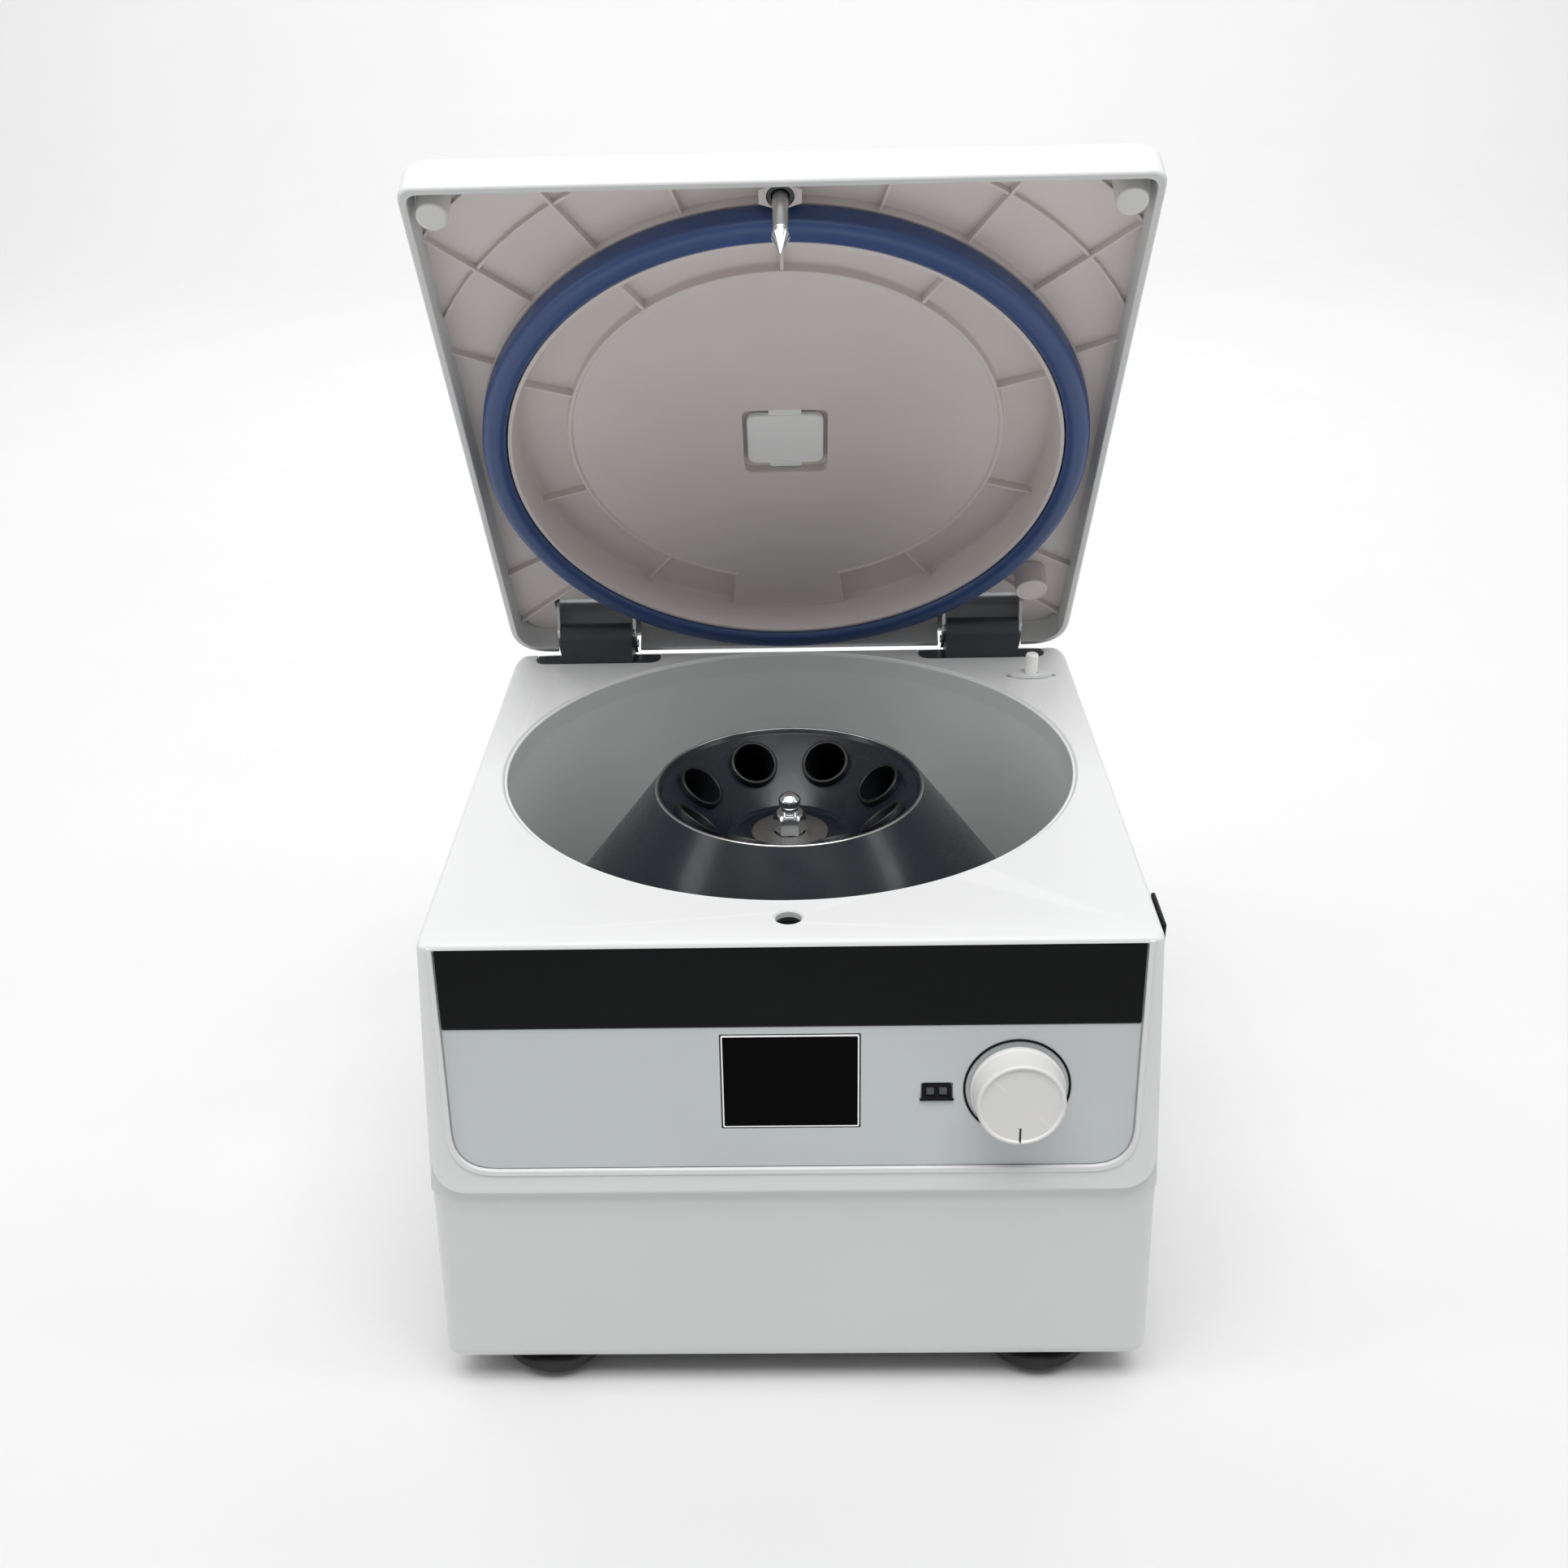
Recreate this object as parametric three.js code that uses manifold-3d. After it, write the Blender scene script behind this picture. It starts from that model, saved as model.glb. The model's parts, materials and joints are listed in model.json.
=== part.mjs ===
// Small laboratory centrifuge with its lid open: a tapered housing with a round chamber, an
// eight-place angle rotor, a hinged lid with a ring gasket and a latch pin, and a sloping fascia
// with a display and a rotary knob. Units are millimetres; X is right, Y is back, Z is up.
import * as THREE from 'three';
import { mergeVertices } from 'three/addons/utils/BufferGeometryUtils.js';
import Module from 'manifold-3d';

const wasm = await Module();
wasm.setup();

// ---- Driving dimensions -------------------------------------------------------------------
const GAP = 0.3;                       // clearance between pieces that touch on the real object
const WALL = 3;                        // moulded wall thickness

// Housing. Y is measured from the front edge of the deck until the whole model is centred.
const DECK_Z = 210;                    // deck height above the table
const FOOT_H = 12;
const DECK_BACK = 285;
const HOUSING_TOP_HALF = 135.5;        // half-width at the deck
const HOUSING_BOTTOM_HALF = 144.3;
const BOTTOM_R = 9;                    // rounding of the bottom edge
const FASCIA_TILT = THREE.MathUtils.degToRad(8);
const FASCIA_H = 94;                   // fascia height measured down the slope
const APRON_STEP = 3;                  // the lower front steps back under the fascia

// Chamber, rotor and drive share one vertical axis.
const AXIS_Y = 153;
const MOUTH_R = 122;
const BOWL_DEPTH = 101;
const BOWL_WALL = 1.5;
const ROTOR_RIM_R = 58.8;
const ROTOR_RIM_DEPTH = 11.7;          // rotor rim below the deck
const ROTOR_SKIRT_R = 112.5;
const ROTOR_SKIRT_DEPTH = 81.5;
const ROTOR_BOTTOM_DEPTH = 94;
const DISH_TOP_R = 56.8;
const DISH_FLOOR_R = 26.8;
const DISH_FLOOR_DEPTH = 36.8;
const TUBE_COUNT = 8;
const TUBE_R = 8.85;
const TUBE_PITCH_R = 44.5;             // radius of the tube mouths about the rotor axis
const TUBE_LENGTH = 56;
const SHAFT_R = 6;
const MOTOR_R = 48;
const MOTOR_PLATE_Z = 66;

// Lid. Local y runs backwards from the hinge axis and local z upwards when the lid is closed.
const HINGE_Y = 280;
const HINGE_RISE = 4.5;                // hinge axis above the deck
const LID_OPEN = THREE.MathUtils.degToRad(57.4);
const LID_RIM = -1.5;                  // rim plane relative to the hinge axis
const LID_HALF = 137;
const LID_FRONT = 273;                 // front edge ahead of the hinge axis
const LID_BACK = 4.5;                  // back edge behind the hinge axis
const LID_SIDE_H = 14;                 // straight wall ends at this height
const LID_TOTAL_H = 28;
const LID_CENTRE = -127.5;             // local y of the ring gasket's centre
const LINER_FLOOR = 11;                // liner floor outside the ring gasket
const TROUGH_FLOOR = 15.5;             // deeper floor inside the ring gasket
const LINER_T = 2;
const DISC_FACE = 12;                  // raised middle disc
const DISC_R = 93.5;
const RING_WALL_R = 116.5;
const GASKET_IN_R = 118.6;
const GASKET_OUT_R = 129;
const GASKET_LOW = -4.2;
const GASKET_SEAT = 7;
const LATCH_S = 262.5;                 // latch pin in front of the hinge axis
const LATCH_PIN_R = 3;
const LATCH_PIN_TIP = -25.6;
const HINGE_INNER_X = 77;
const HINGE_OUTER_X = 112;
const HINGE_PIN_R = 2;
const REAR_STEP_Y = 277;               // the deck drops here so that the lid's back edge can swing
const REAR_STEP = 3;

// Hinge tray sunk in the deck.
const TRAY_X0 = 64;
const TRAY_X1 = 125;
const TRAY_Y0 = 266;
const TRAY_Y1 = 284;

// Fascia pieces, measured from the deck edge down the slope.
const BAND_TOP = 2.5;
const BAND_BOTTOM = 34.3;
const FASCIA_HALF = 129;
const SCREEN_W = 51.4;
const SCREEN_H = 38.6;
const SCREEN_CENTRE = 57.6;
const KNOB_X = 84.6;
const KNOB_DOWN = 60.8;
const KNOB_R = 18;
const KNOB_H = 14;
const PORT_X = 54.7;
const PORT_DOWN = 62.3;

// Side rocker switch, lid-sensor plunger and mains inlet.
const SWITCH_Y = 24;
const SWITCH_DOWN = 9.5;
const PLUNGER_X = 115.5;
const PLUNGER_Y = 242;
const INLET_X = 78;
const INLET_Z = 52;

// ---- Geometry helpers ---------------------------------------------------------------------
const rad = THREE.MathUtils.degToRad;

/** Moves and then turns a geometry; turns are in radians about x, y, z. */
function place(geometry, x = 0, y = 0, z = 0, turnX = 0, turnY = 0, turnZ = 0) {
  geometry.applyMatrix4(new THREE.Matrix4().makeRotationFromEuler(new THREE.Euler(turnX, turnY, turnZ)));
  return geometry.translate(x, y, z);
}

/** Box between two corners. */
function block(x0, x1, y0, y1, z0, z1) {
  const box = new THREE.BoxGeometry(x1 - x0, y1 - y0, z1 - z0);
  return box.translate((x0 + x1) / 2, (y0 + y1) / 2, (z0 + z1) / 2);
}

/** Upright cylinder or cone from z0 to z1. */
function rod(x, y, z0, z1, radius, sides = 24, topRadius = radius) {
  const cylinder = new THREE.CylinderGeometry(topRadius, radius, z1 - z0, sides);
  return cylinder.rotateX(Math.PI / 2).translate(x, y, (z0 + z1) / 2);
}

/** Solid of revolution about Z from [radius, height] points listed from bottom to top. */
function turned(points, sides = 48) {
  const profile = points.map(([radius, height]) => new THREE.Vector2(radius, height));
  return new THREE.LatheGeometry(profile, sides).rotateX(Math.PI / 2);
}

/** Ring of revolution whose section is a closed outline. */
function ring(points, sides = 48) {
  return turned([...points, points[0]], sides);
}

/** Flat rectangle outline with separate corner radii at its low-y and high-y ends. */
function plate(x0, x1, y0, y1, lowRadius, highRadius = lowRadius) {
  const shape = new THREE.Shape();
  shape.moveTo(x0 + lowRadius, y0).lineTo(x1 - lowRadius, y0);
  shape.absarc(x1 - lowRadius, y0 + lowRadius, lowRadius, -Math.PI / 2, 0);
  shape.absarc(x1 - highRadius, y1 - highRadius, highRadius, 0, Math.PI / 2);
  shape.absarc(x0 + highRadius, y1 - highRadius, highRadius, Math.PI / 2, Math.PI);
  shape.absarc(x0 + lowRadius, y0 + lowRadius, lowRadius, Math.PI, Math.PI * 1.5);
  return shape;
}

/** Extrudes an outline in the XY plane upwards from z0 to z1. */
function slab(shape, z0, z1, curveSegments = 4) {
  const options = { depth: z1 - z0, bevelEnabled: false, curveSegments };
  return new THREE.ExtrudeGeometry(shape, options).translate(0, 0, z0);
}

/** Extrudes an outline drawn in the YZ plane along X from x0 to x1. */
function slabAlongX(shape, x0, x1, curveSegments = 4) {
  const options = { depth: x1 - x0, bevelEnabled: false, curveSegments };
  const basis = new THREE.Matrix4().makeBasis(
    new THREE.Vector3(0, 1, 0), new THREE.Vector3(0, 0, 1), new THREE.Vector3(1, 0, 0));
  return new THREE.ExtrudeGeometry(shape, options).applyMatrix4(basis).translate(x0, 0, 0);
}

/**
 * Stacks scaled copies of a unit plan outline. Each level gives its height, half-width, front and
 * back; the outline spans x = -1..1 and y = 0..1 in units of the first reference level.
 */
function loft(levels, frontRadius, backRadius) {
  const widest = Math.max(...levels.map((level) => level.half));
  const deepest = Math.max(...levels.map((level) => level.back - level.front));
  const outline = plate(-widest, widest, 0, deepest, frontRadius, backRadius);
  const steps = levels.length - 1;
  const options = { depth: steps, steps, bevelEnabled: false, curveSegments: 4 };
  const geometry = new THREE.ExtrudeGeometry(outline, options);
  const position = geometry.getAttribute('position');
  for (let i = 0; i < position.count; i += 1) {
    const level = levels[Math.round(position.getZ(i))];
    const x = position.getX(i) * (level.half / widest);
    const y = level.front + position.getY(i) * ((level.back - level.front) / deepest);
    position.setXYZ(i, x, y, level.z);
  }
  return geometry;
}

/** Closed three.js geometry to a solid. */
function solidOf(geometry) {
  const bare = geometry.clone();
  bare.deleteAttribute('normal');
  bare.deleteAttribute('uv');
  const merged = mergeVertices(bare, 1e-4);
  const mesh = new wasm.Mesh({
    numProp: 3,
    vertProperties: new Float32Array(merged.getAttribute('position').array),
    triVerts: new Uint32Array(merged.getIndex().array),
  });
  return new wasm.Manifold(mesh);
}

function geometryOf(solid) {
  const mesh = solid.getMesh();
  const geometry = new THREE.BufferGeometry();
  geometry.setAttribute('position', new THREE.BufferAttribute(mesh.vertProperties, 3));
  geometry.setIndex(new THREE.BufferAttribute(mesh.triVerts, 1));
  return geometry.toNonIndexed();
}

const cut = (body, ...tools) =>
  geometryOf(tools.reduce((solid, tool) => solid.subtract(solidOf(tool)), solidOf(body)));

const join = (...bodies) =>
  geometryOf(bodies.slice(1).reduce((solid, body) => solid.add(solidOf(body)), solidOf(bodies[0])));

// ---- Materials ----------------------------------------------------------------------------
const finish = (color, roughness, metalness = 0) =>
  new THREE.MeshStandardMaterial({ color, roughness, metalness });
const WHITE_SHELL = finish(0xe9eae9, 0.4);
const GREY_PANEL = finish(0xb0b5b6, 0.45);
const BLACK_GLOSS = finish(0x101112, 0.12);
const BOWL_GREY = finish(0x9da0a0, 0.45);
const ROTOR_BLACK = finish(0x22262c, 0.25);
const HINGE_SLATE = finish(0x32383f, 0.5);
const GASKET_BLUE = finish(0x2c4066, 0.45);
const RUBBER = finish(0x151515, 0.85);
const STEEL = finish(0xc4c6c8, 0.25, 1);
const KNOB_WHITE = finish(0xe2e2e0, 0.4);
const BOARD_GREEN = finish(0x1f5a3a, 0.6);
const DARK_METAL = finish(0x4a4d50, 0.45, 0.8);

const base = new THREE.Group();
const lid = new THREE.Group();
const fascia = new THREE.Group();
const spindle = new THREE.Group();

function add(group, name, geometry, material) {
  const mesh = new THREE.Mesh(geometry, material);
  mesh.name = name;
  group.add(mesh);
  return mesh;
}

// ---- Housing ------------------------------------------------------------------------------
/** Front face of the fascia slope at height z. */
const slopeY = (z) => -(DECK_Z - z) * Math.tan(FASCIA_TILT);

/** Half-width of the housing at height z, widening downwards. */
const halfAt = (z) => HOUSING_TOP_HALF +
  (HOUSING_BOTTOM_HALF - HOUSING_TOP_HALF) * Math.min(1, (DECK_Z - z) / (DECK_Z - FOOT_H - BOTTOM_R));

const APRON_Z = DECK_Z - FASCIA_H * Math.cos(FASCIA_TILT) - 9.5;
const SEAT_Z = FOOT_H + BOTTOM_R;

/** Housing levels from the bottom up, shrunk by an inset for the inner surface. */
function housingLevels(inset, bottomZ, topZ) {
  const front = slopeY(APRON_Z);
  const low = front + APRON_STEP;
  const edge = inset ? 0 : BOTTOM_R * 0.8;
  const shoulder = inset ? 0 : BOTTOM_R * 0.25;
  const rows = [
    [bottomZ, halfAt(bottomZ) - edge, low + edge],
    [bottomZ + BOTTOM_R * 0.3, halfAt(bottomZ) - shoulder, low + shoulder],
    [SEAT_Z, halfAt(SEAT_Z), low],
    [APRON_Z - 3.5, halfAt(APRON_Z - 3.5), low],
    [APRON_Z, halfAt(APRON_Z), front],
    [topZ, halfAt(topZ), slopeY(topZ)],
  ];
  return rows.map(([z, half, y]) => ({ z, half: half - inset, front: y + inset, back: DECK_BACK - inset }));
}

/** A tool or piece described on the fascia, turned onto the slope. */
function onSlope(geometry) {
  return place(geometry, 0, 0, DECK_Z, -FASCIA_TILT);
}

/** Outline on the fascia face from a plan shape: x stays and y becomes the distance down. */
function fasciaSlab(shape, outer, inner, curveSegments = 4) {
  return place(slab(shape, -inner, -outer, curveSegments), 0, 0, 0, Math.PI / 2);
}

function makeHousing() {
  const outer = loft(housingLevels(0, FOOT_H, DECK_Z), 5, 18);
  const inner = loft(housingLevels(WALL, FOOT_H - 1, DECK_Z - WALL), 3, 15);
  const ledge = block(-200, 200, TRAY_Y0 - 3, DECK_BACK + 5, DECK_Z - REAR_STEP - WALL - 3, DECK_Z);
  const mouth = rod(0, AXIS_Y, DECK_Z - 10, DECK_Z + 5, MOUTH_R + BOWL_WALL + GAP, 48);
  const latchHole = rod(0, HINGE_Y - LATCH_S, DECK_Z - 10, DECK_Z + 5, 5, 24);
  const pocketHalf = FASCIA_HALF + GAP;
  const pocket = onSlope(block(-pocketHalf, pocketHalf, -5, 1.9, -FASCIA_H - GAP, -BAND_TOP + GAP));
  const service = onSlope(block(-32, 106, 0, 12, -82, -36));
  const switchZ = DECK_Z - SWITCH_DOWN;
  const frameHole = block(130, 150, SWITCH_Y - 10.3, SWITCH_Y + 10.3, switchZ - 7.3, switchZ + 6.2);
  const plungerHole = rod(PLUNGER_X, PLUNGER_Y, DECK_Z - 10, DECK_Z + 5, 3.8, 20);
  const inletHole = block(INLET_X - 14 - GAP, INLET_X + 14 + GAP, DECK_BACK - 10, DECK_BACK + 5,
    INLET_Z - 11 - GAP, INLET_Z + 11 + GAP);
  const rearStep = block(-200, 200, REAR_STEP_Y, DECK_BACK + 5, DECK_Z - REAR_STEP, DECK_Z + 5);
  const hingeHoles = [-1, 1].map((side) => {
    const near = side > 0 ? TRAY_X0 - GAP : -TRAY_X1 - GAP;
    const far = near + TRAY_X1 - TRAY_X0 + 2 * GAP;
    return block(near, far, TRAY_Y0 - GAP, TRAY_Y1 + GAP, DECK_Z - 6.5, DECK_Z + 5);
  });
  const outerShell = cut(outer, rearStep);
  const openings = [mouth, latchHole, pocket, service, frameHole, plungerHole, inletHole, ...hingeHoles];
  return cut(outerShell, cut(inner, ledge), ...openings);
}
add(base, 'main_housing', makeHousing(), WHITE_SHELL);

const FLOOR_FRONT = slopeY(APRON_Z) + APRON_STEP;
function makeBasePlate() {
  const half = halfAt(FOOT_H) - BOTTOM_R * 0.8 - WALL;
  const outline = plate(-half, half, FLOOR_FRONT + BOTTOM_R, DECK_BACK - WALL - GAP - 2, 6);
  return slab(outline, FOOT_H, FOOT_H + 2.5);
}
add(base, 'base_plate', makeBasePlate(), DARK_METAL);

const FOOT_PROFILE = [[0, 0], [16, 0], [19.5, 2], [22.3, 6.5], [23, FOOT_H - GAP], [0, FOOT_H - GAP]];
const FOOT_X = 102;
const FOOT_Y = [12, 258];
for (const [row, y] of [['front', FOOT_Y[0]], ['rear', FOOT_Y[1]]]) {
  for (const [side, x] of [['left', -FOOT_X], ['right', FOOT_X]]) {
    add(base, `foot_${row}_${side}`, turned(FOOT_PROFILE, 20).translate(x, y, 0), RUBBER);
  }
}

// ---- Chamber ------------------------------------------------------------------------------
function makeBowl() {
  const floor = DECK_Z - BOWL_DEPTH;
  const outer = MOUTH_R + BOWL_WALL;
  const wall = ring([[17, floor - BOWL_WALL], [107, floor - BOWL_WALL], [118.5, floor + 10],
    [outer, DECK_Z - 10], [outer, DECK_Z - GAP], [MOUTH_R, DECK_Z - GAP], [MOUTH_R, DECK_Z - 10],
    [117, floor + 11.5], [106, floor], [17, floor]], 48);
  const flange = ring([[outer - 1, DECK_Z - 6 - GAP], [129, DECK_Z - 6 - GAP], [129, DECK_Z - WALL - GAP],
    [outer - 1, DECK_Z - WALL - GAP]], 48);
  const rearTrim = block(-200, 200, TRAY_Y0 - 4 - AXIS_Y, 200, DECK_Z - 20, DECK_Z);
  return join(wall, cut(flange, rearTrim)).translate(0, AXIS_Y, 0);
}
add(base, 'chamber_bowl', makeBowl(), BOWL_GREY);

const SEAL_SECTION = [[8, -3], [16.7, -3], [16.7, 2], [8.6, 4.5], [8, 4]];
add(base, 'shaft_seal', ring(SEAL_SECTION, 20).translate(0, AXIS_Y, DECK_Z - BOWL_DEPTH), RUBBER);

// ---- Drive --------------------------------------------------------------------------------
function makeMotorPlate() {
  const disc = rod(0, AXIS_Y, MOTOR_PLATE_Z, MOTOR_PLATE_Z + 4, 80, 40);
  return cut(disc, rod(0, AXIS_Y, MOTOR_PLATE_Z - 5, MOTOR_PLATE_Z + 9, 12, 24));
}
add(base, 'motor_plate', makeMotorPlate(), DARK_METAL);

const MOTOR_SECTION = [
  [0, 24], [MOTOR_R - 4, 24], [MOTOR_R, 28], [MOTOR_R, MOTOR_PLATE_Z - GAP],
  [SHAFT_R + 3, MOTOR_PLATE_Z - GAP], [SHAFT_R + 3, MOTOR_PLATE_Z - 9], [0, MOTOR_PLATE_Z - 9],
];
add(base, 'motor_body', turned(MOTOR_SECTION, 24).translate(0, AXIS_Y, 0), DARK_METAL);

const DAMPER_BASE = FOOT_H + 2.5 + GAP;
for (let i = 0; i < 3; i += 1) {
  const angle = rad(90 + 120 * i);
  const x = 66 * Math.cos(angle);
  const y = AXIS_Y + 66 * Math.sin(angle);
  const profile = [[0, DAMPER_BASE], [11, DAMPER_BASE], [11, 22], [8, 30], [8, 50], [11, 58],
    [11, MOTOR_PLATE_Z - GAP], [0, MOTOR_PLATE_Z - GAP]];
  add(base, `motor_damper_${i + 1}`, turned(profile, 20).translate(x, y, 0), RUBBER);
}

// ---- Rotor, modelled about its own axis with z = 0 at the deck ------------------------------
spindle.position.set(0, AXIS_Y, DECK_Z);
const DISH_SLOPE = Math.atan2(DISH_FLOOR_DEPTH - ROTOR_RIM_DEPTH - 1, DISH_TOP_R - DISH_FLOOR_R);
const TUBE_MOUTH_DEPTH = ROTOR_RIM_DEPTH + 1 + (DISH_TOP_R - TUBE_PITCH_R) * Math.tan(DISH_SLOPE);

/** Puts a piece drawn along +Z from a tube mouth into socket i. */
function inSocket(geometry, i) {
  const tilted = geometry.rotateY(-DISH_SLOPE).translate(TUBE_PITCH_R, 0, -TUBE_MOUTH_DEPTH);
  return tilted.rotateZ(rad(22.5 + (360 / TUBE_COUNT) * i));
}

function makeRotor() {
  const section = [
    [7, -DISH_FLOOR_DEPTH - 40], [17, -DISH_FLOOR_DEPTH - 40], [22, -DISH_FLOOR_DEPTH - 6],
    [28.5, -DISH_FLOOR_DEPTH - 5.5], [DISH_TOP_R - 3.5, -ROTOR_RIM_DEPTH - 7.5],
    [ROTOR_SKIRT_R - 5, -ROTOR_SKIRT_DEPTH - 1], [ROTOR_SKIRT_R - 5, -ROTOR_BOTTOM_DEPTH],
    [ROTOR_SKIRT_R, -ROTOR_BOTTOM_DEPTH], [ROTOR_SKIRT_R, -ROTOR_SKIRT_DEPTH],
    [ROTOR_RIM_R, -ROTOR_RIM_DEPTH], [DISH_TOP_R + 0.4, -ROTOR_RIM_DEPTH],
    [DISH_TOP_R, -ROTOR_RIM_DEPTH - 1], [DISH_FLOOR_R, -DISH_FLOOR_DEPTH], [7, -DISH_FLOOR_DEPTH],
  ];
  const sockets = [];
  for (let i = 0; i < TUBE_COUNT; i += 1) {
    sockets.push(inSocket(rod(0, 0, -TUBE_LENGTH - 2, 12, TUBE_R + 1.6, 14), i));
    sockets.push(inSocket(rod(0, 0, 0, 12, TUBE_R + 2.6, 14), i));
  }
  return cut(ring(section, 40), ...sockets);
}
add(spindle, 'rotor_body', makeRotor(), ROTOR_BLACK);

function makeSleeve() {
  const profile = [
    [0, -TUBE_LENGTH - 1.2], [5, -TUBE_LENGTH - 1.2], [TUBE_R + 1.2, -TUBE_LENGTH + 6], [TUBE_R + 1.2, GAP],
    [TUBE_R + 2.2, GAP], [TUBE_R + 2.2, 1.4], [TUBE_R + 1.4, 2.2], [TUBE_R, 2.2],
    [TUBE_R, -TUBE_LENGTH + 6], [4.5, -TUBE_LENGTH], [0, -TUBE_LENGTH],
  ];
  return turned(profile, 14);
}
for (let i = 0; i < TUBE_COUNT; i += 1) {
  add(spindle, `tube_sleeve_${i + 1}`, inSocket(makeSleeve(), i), ROTOR_BLACK);
}

const WASHER_TOP = -DISH_FLOOR_DEPTH + 2;
const WASHER_LOW = -DISH_FLOOR_DEPTH + GAP;
const WASHER_SECTION = [[7, WASHER_LOW], [17.3, WASHER_LOW], [17.3, WASHER_TOP], [7, WASHER_TOP]];
add(spindle, 'rotor_washer', ring(WASHER_SECTION, 24), BOWL_GREY);

function makeRotorNut() {
  const hex = rod(0, 0, WASHER_TOP + GAP, WASHER_TOP + 7.5, 7.5, 6);
  const dome = turned([[0, WASHER_TOP + 6], [5.4, WASHER_TOP + 6], [5, WASHER_TOP + 10.5],
    [3.4, WASHER_TOP + 13], [0, WASHER_TOP + 14]], 20);
  return cut(join(hex, dome), rod(0, 0, -60, WASHER_TOP + 5 + GAP, 4 + GAP, 16));
}
add(spindle, 'rotor_nut', makeRotorNut(), STEEL);

const SHAFT_PROFILE = [[0, MOTOR_PLATE_Z - 8 - DECK_Z], [SHAFT_R, MOTOR_PLATE_Z - 8 - DECK_Z],
  [SHAFT_R, -DISH_FLOOR_DEPTH], [4, -DISH_FLOOR_DEPTH], [4, WASHER_TOP + 5], [0, WASHER_TOP + 5]];
add(spindle, 'motor_shaft', turned(SHAFT_PROFILE, 20), STEEL);

// ---- Fascia, modelled upright with z = 0 at the deck edge and -y outwards ------------------
fascia.position.z = DECK_Z;
fascia.rotation.x = -FASCIA_TILT;

function makeFasciaPanel() {
  const panel = plate(-FASCIA_HALF, FASCIA_HALF, -FASCIA_H, -BAND_BOTTOM - GAP, 16, 0.5);
  const body = fasciaSlab(panel, -0.2, 1.6);
  const half = SCREEN_W / 2 + GAP;
  const rise = SCREEN_H / 2 + GAP;
  const screen = block(-half, half, -5, 5, -SCREEN_CENTRE - rise, -SCREEN_CENTRE + rise);
  const knobHole = rod(KNOB_X, -KNOB_DOWN, -5, 5, 4, 20).rotateX(Math.PI / 2);
  const port = block(PORT_X - 6.1, PORT_X + 6.1, -5, 5, -PORT_DOWN - 3.8, -PORT_DOWN + 3.8);
  return cut(body, screen, knobHole, port);
}
add(fascia, 'fascia_panel', makeFasciaPanel(), GREY_PANEL);
add(fascia, 'fascia_band', block(-FASCIA_HALF, FASCIA_HALF, -0.2, 1.6, -BAND_BOTTOM, -BAND_TOP), BLACK_GLOSS);

const screenBottom = -SCREEN_CENTRE - SCREEN_H / 2;
const glass = block(-SCREEN_W / 2, SCREEN_W / 2, -0.2, 1.8, screenBottom, screenBottom + SCREEN_H);
add(fascia, 'display_window', glass, BLACK_GLOSS);
add(fascia, 'display_module', block(-27, 27, 2.2, 9, -SCREEN_CENTRE - 21, -SCREEN_CENTRE + 21), DARK_METAL);
add(fascia, 'control_board', block(-28, 104, 9.4, 11, -81, -37), BOARD_GREEN);

function makePort() {
  const body = block(PORT_X - 5.8, PORT_X + 5.8, -0.8, 7, -PORT_DOWN - 3.5, -PORT_DOWN + 3.5);
  const sockets = [-1, 1].map((side) => {
    const x = PORT_X + side * 2.4;
    return block(x - 1.7, x + 1.7, -3, 1, -PORT_DOWN - 1.7, -PORT_DOWN + 1.9);
  });
  return cut(body, ...sockets);
}
add(fascia, 'indicator_insert', makePort(), BLACK_GLOSS);

const RING_SECTION = [[18.8, 0], [20.2, 0], [20, 0.7], [19, 0.7]];
const knobRing = ring(RING_SECTION, 28).rotateX(Math.PI / 2).translate(KNOB_X, -0.2 - GAP, -KNOB_DOWN);
add(fascia, 'knob_ring', knobRing, BLACK_GLOSS);

const encoderCase = block(KNOB_X - 7, KNOB_X + 7, 2.2, 9, -KNOB_DOWN - 7, -KNOB_DOWN + 7);
const encoderStem = rod(KNOB_X, 0, 0, 13, 2.8, 16).rotateX(Math.PI / 2).translate(0, 4, -KNOB_DOWN);
add(fascia, 'knob_encoder', join(encoderCase, encoderStem), DARK_METAL);

function makeKnob() {
  const low = 0.8;
  const profile = [[0, low], [KNOB_R + 0.6, low], [KNOB_R + 0.6, low + 2.2], [KNOB_R, low + 3],
    [KNOB_R - 0.9, KNOB_H - 1], [KNOB_R - 1.9, KNOB_H], [0, KNOB_H]];
  const bore = rod(0, 0, -1, 9.6, 2.8 + GAP, 16);
  const pointer = block(-0.5, 0.5, -KNOB_R, -KNOB_R + 7, KNOB_H - 0.5, KNOB_H + 1);
  return cut(turned(profile, 32), bore, pointer).rotateX(Math.PI / 2).translate(KNOB_X, 0, -KNOB_DOWN);
}
add(fascia, 'control_knob', makeKnob(), KNOB_WHITE);

// ---- Side rocker switch -------------------------------------------------------------------
const SWITCH_Z = DECK_Z - SWITCH_DOWN;
const SIDE_X = halfAt(SWITCH_Z);
function makeSwitchFrame() {
  const flange = block(SIDE_X + 0.4, SIDE_X + 2, SWITCH_Y - 12, SWITCH_Y + 12,
    SWITCH_Z - 8.5, SWITCH_Z + 7.5);
  const body = block(SIDE_X - 14, SIDE_X + 1, SWITCH_Y - 10, SWITCH_Y + 10, SWITCH_Z - 7, SWITCH_Z + 5.9);
  const well = block(SIDE_X - 8, SIDE_X + 9, SWITCH_Y - 8.6, SWITCH_Y + 8.6, SWITCH_Z - 5.6, SWITCH_Z + 4.6);
  return cut(join(flange, body), well);
}
add(base, 'switch_frame', makeSwitchFrame(), BLACK_GLOSS);

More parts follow.
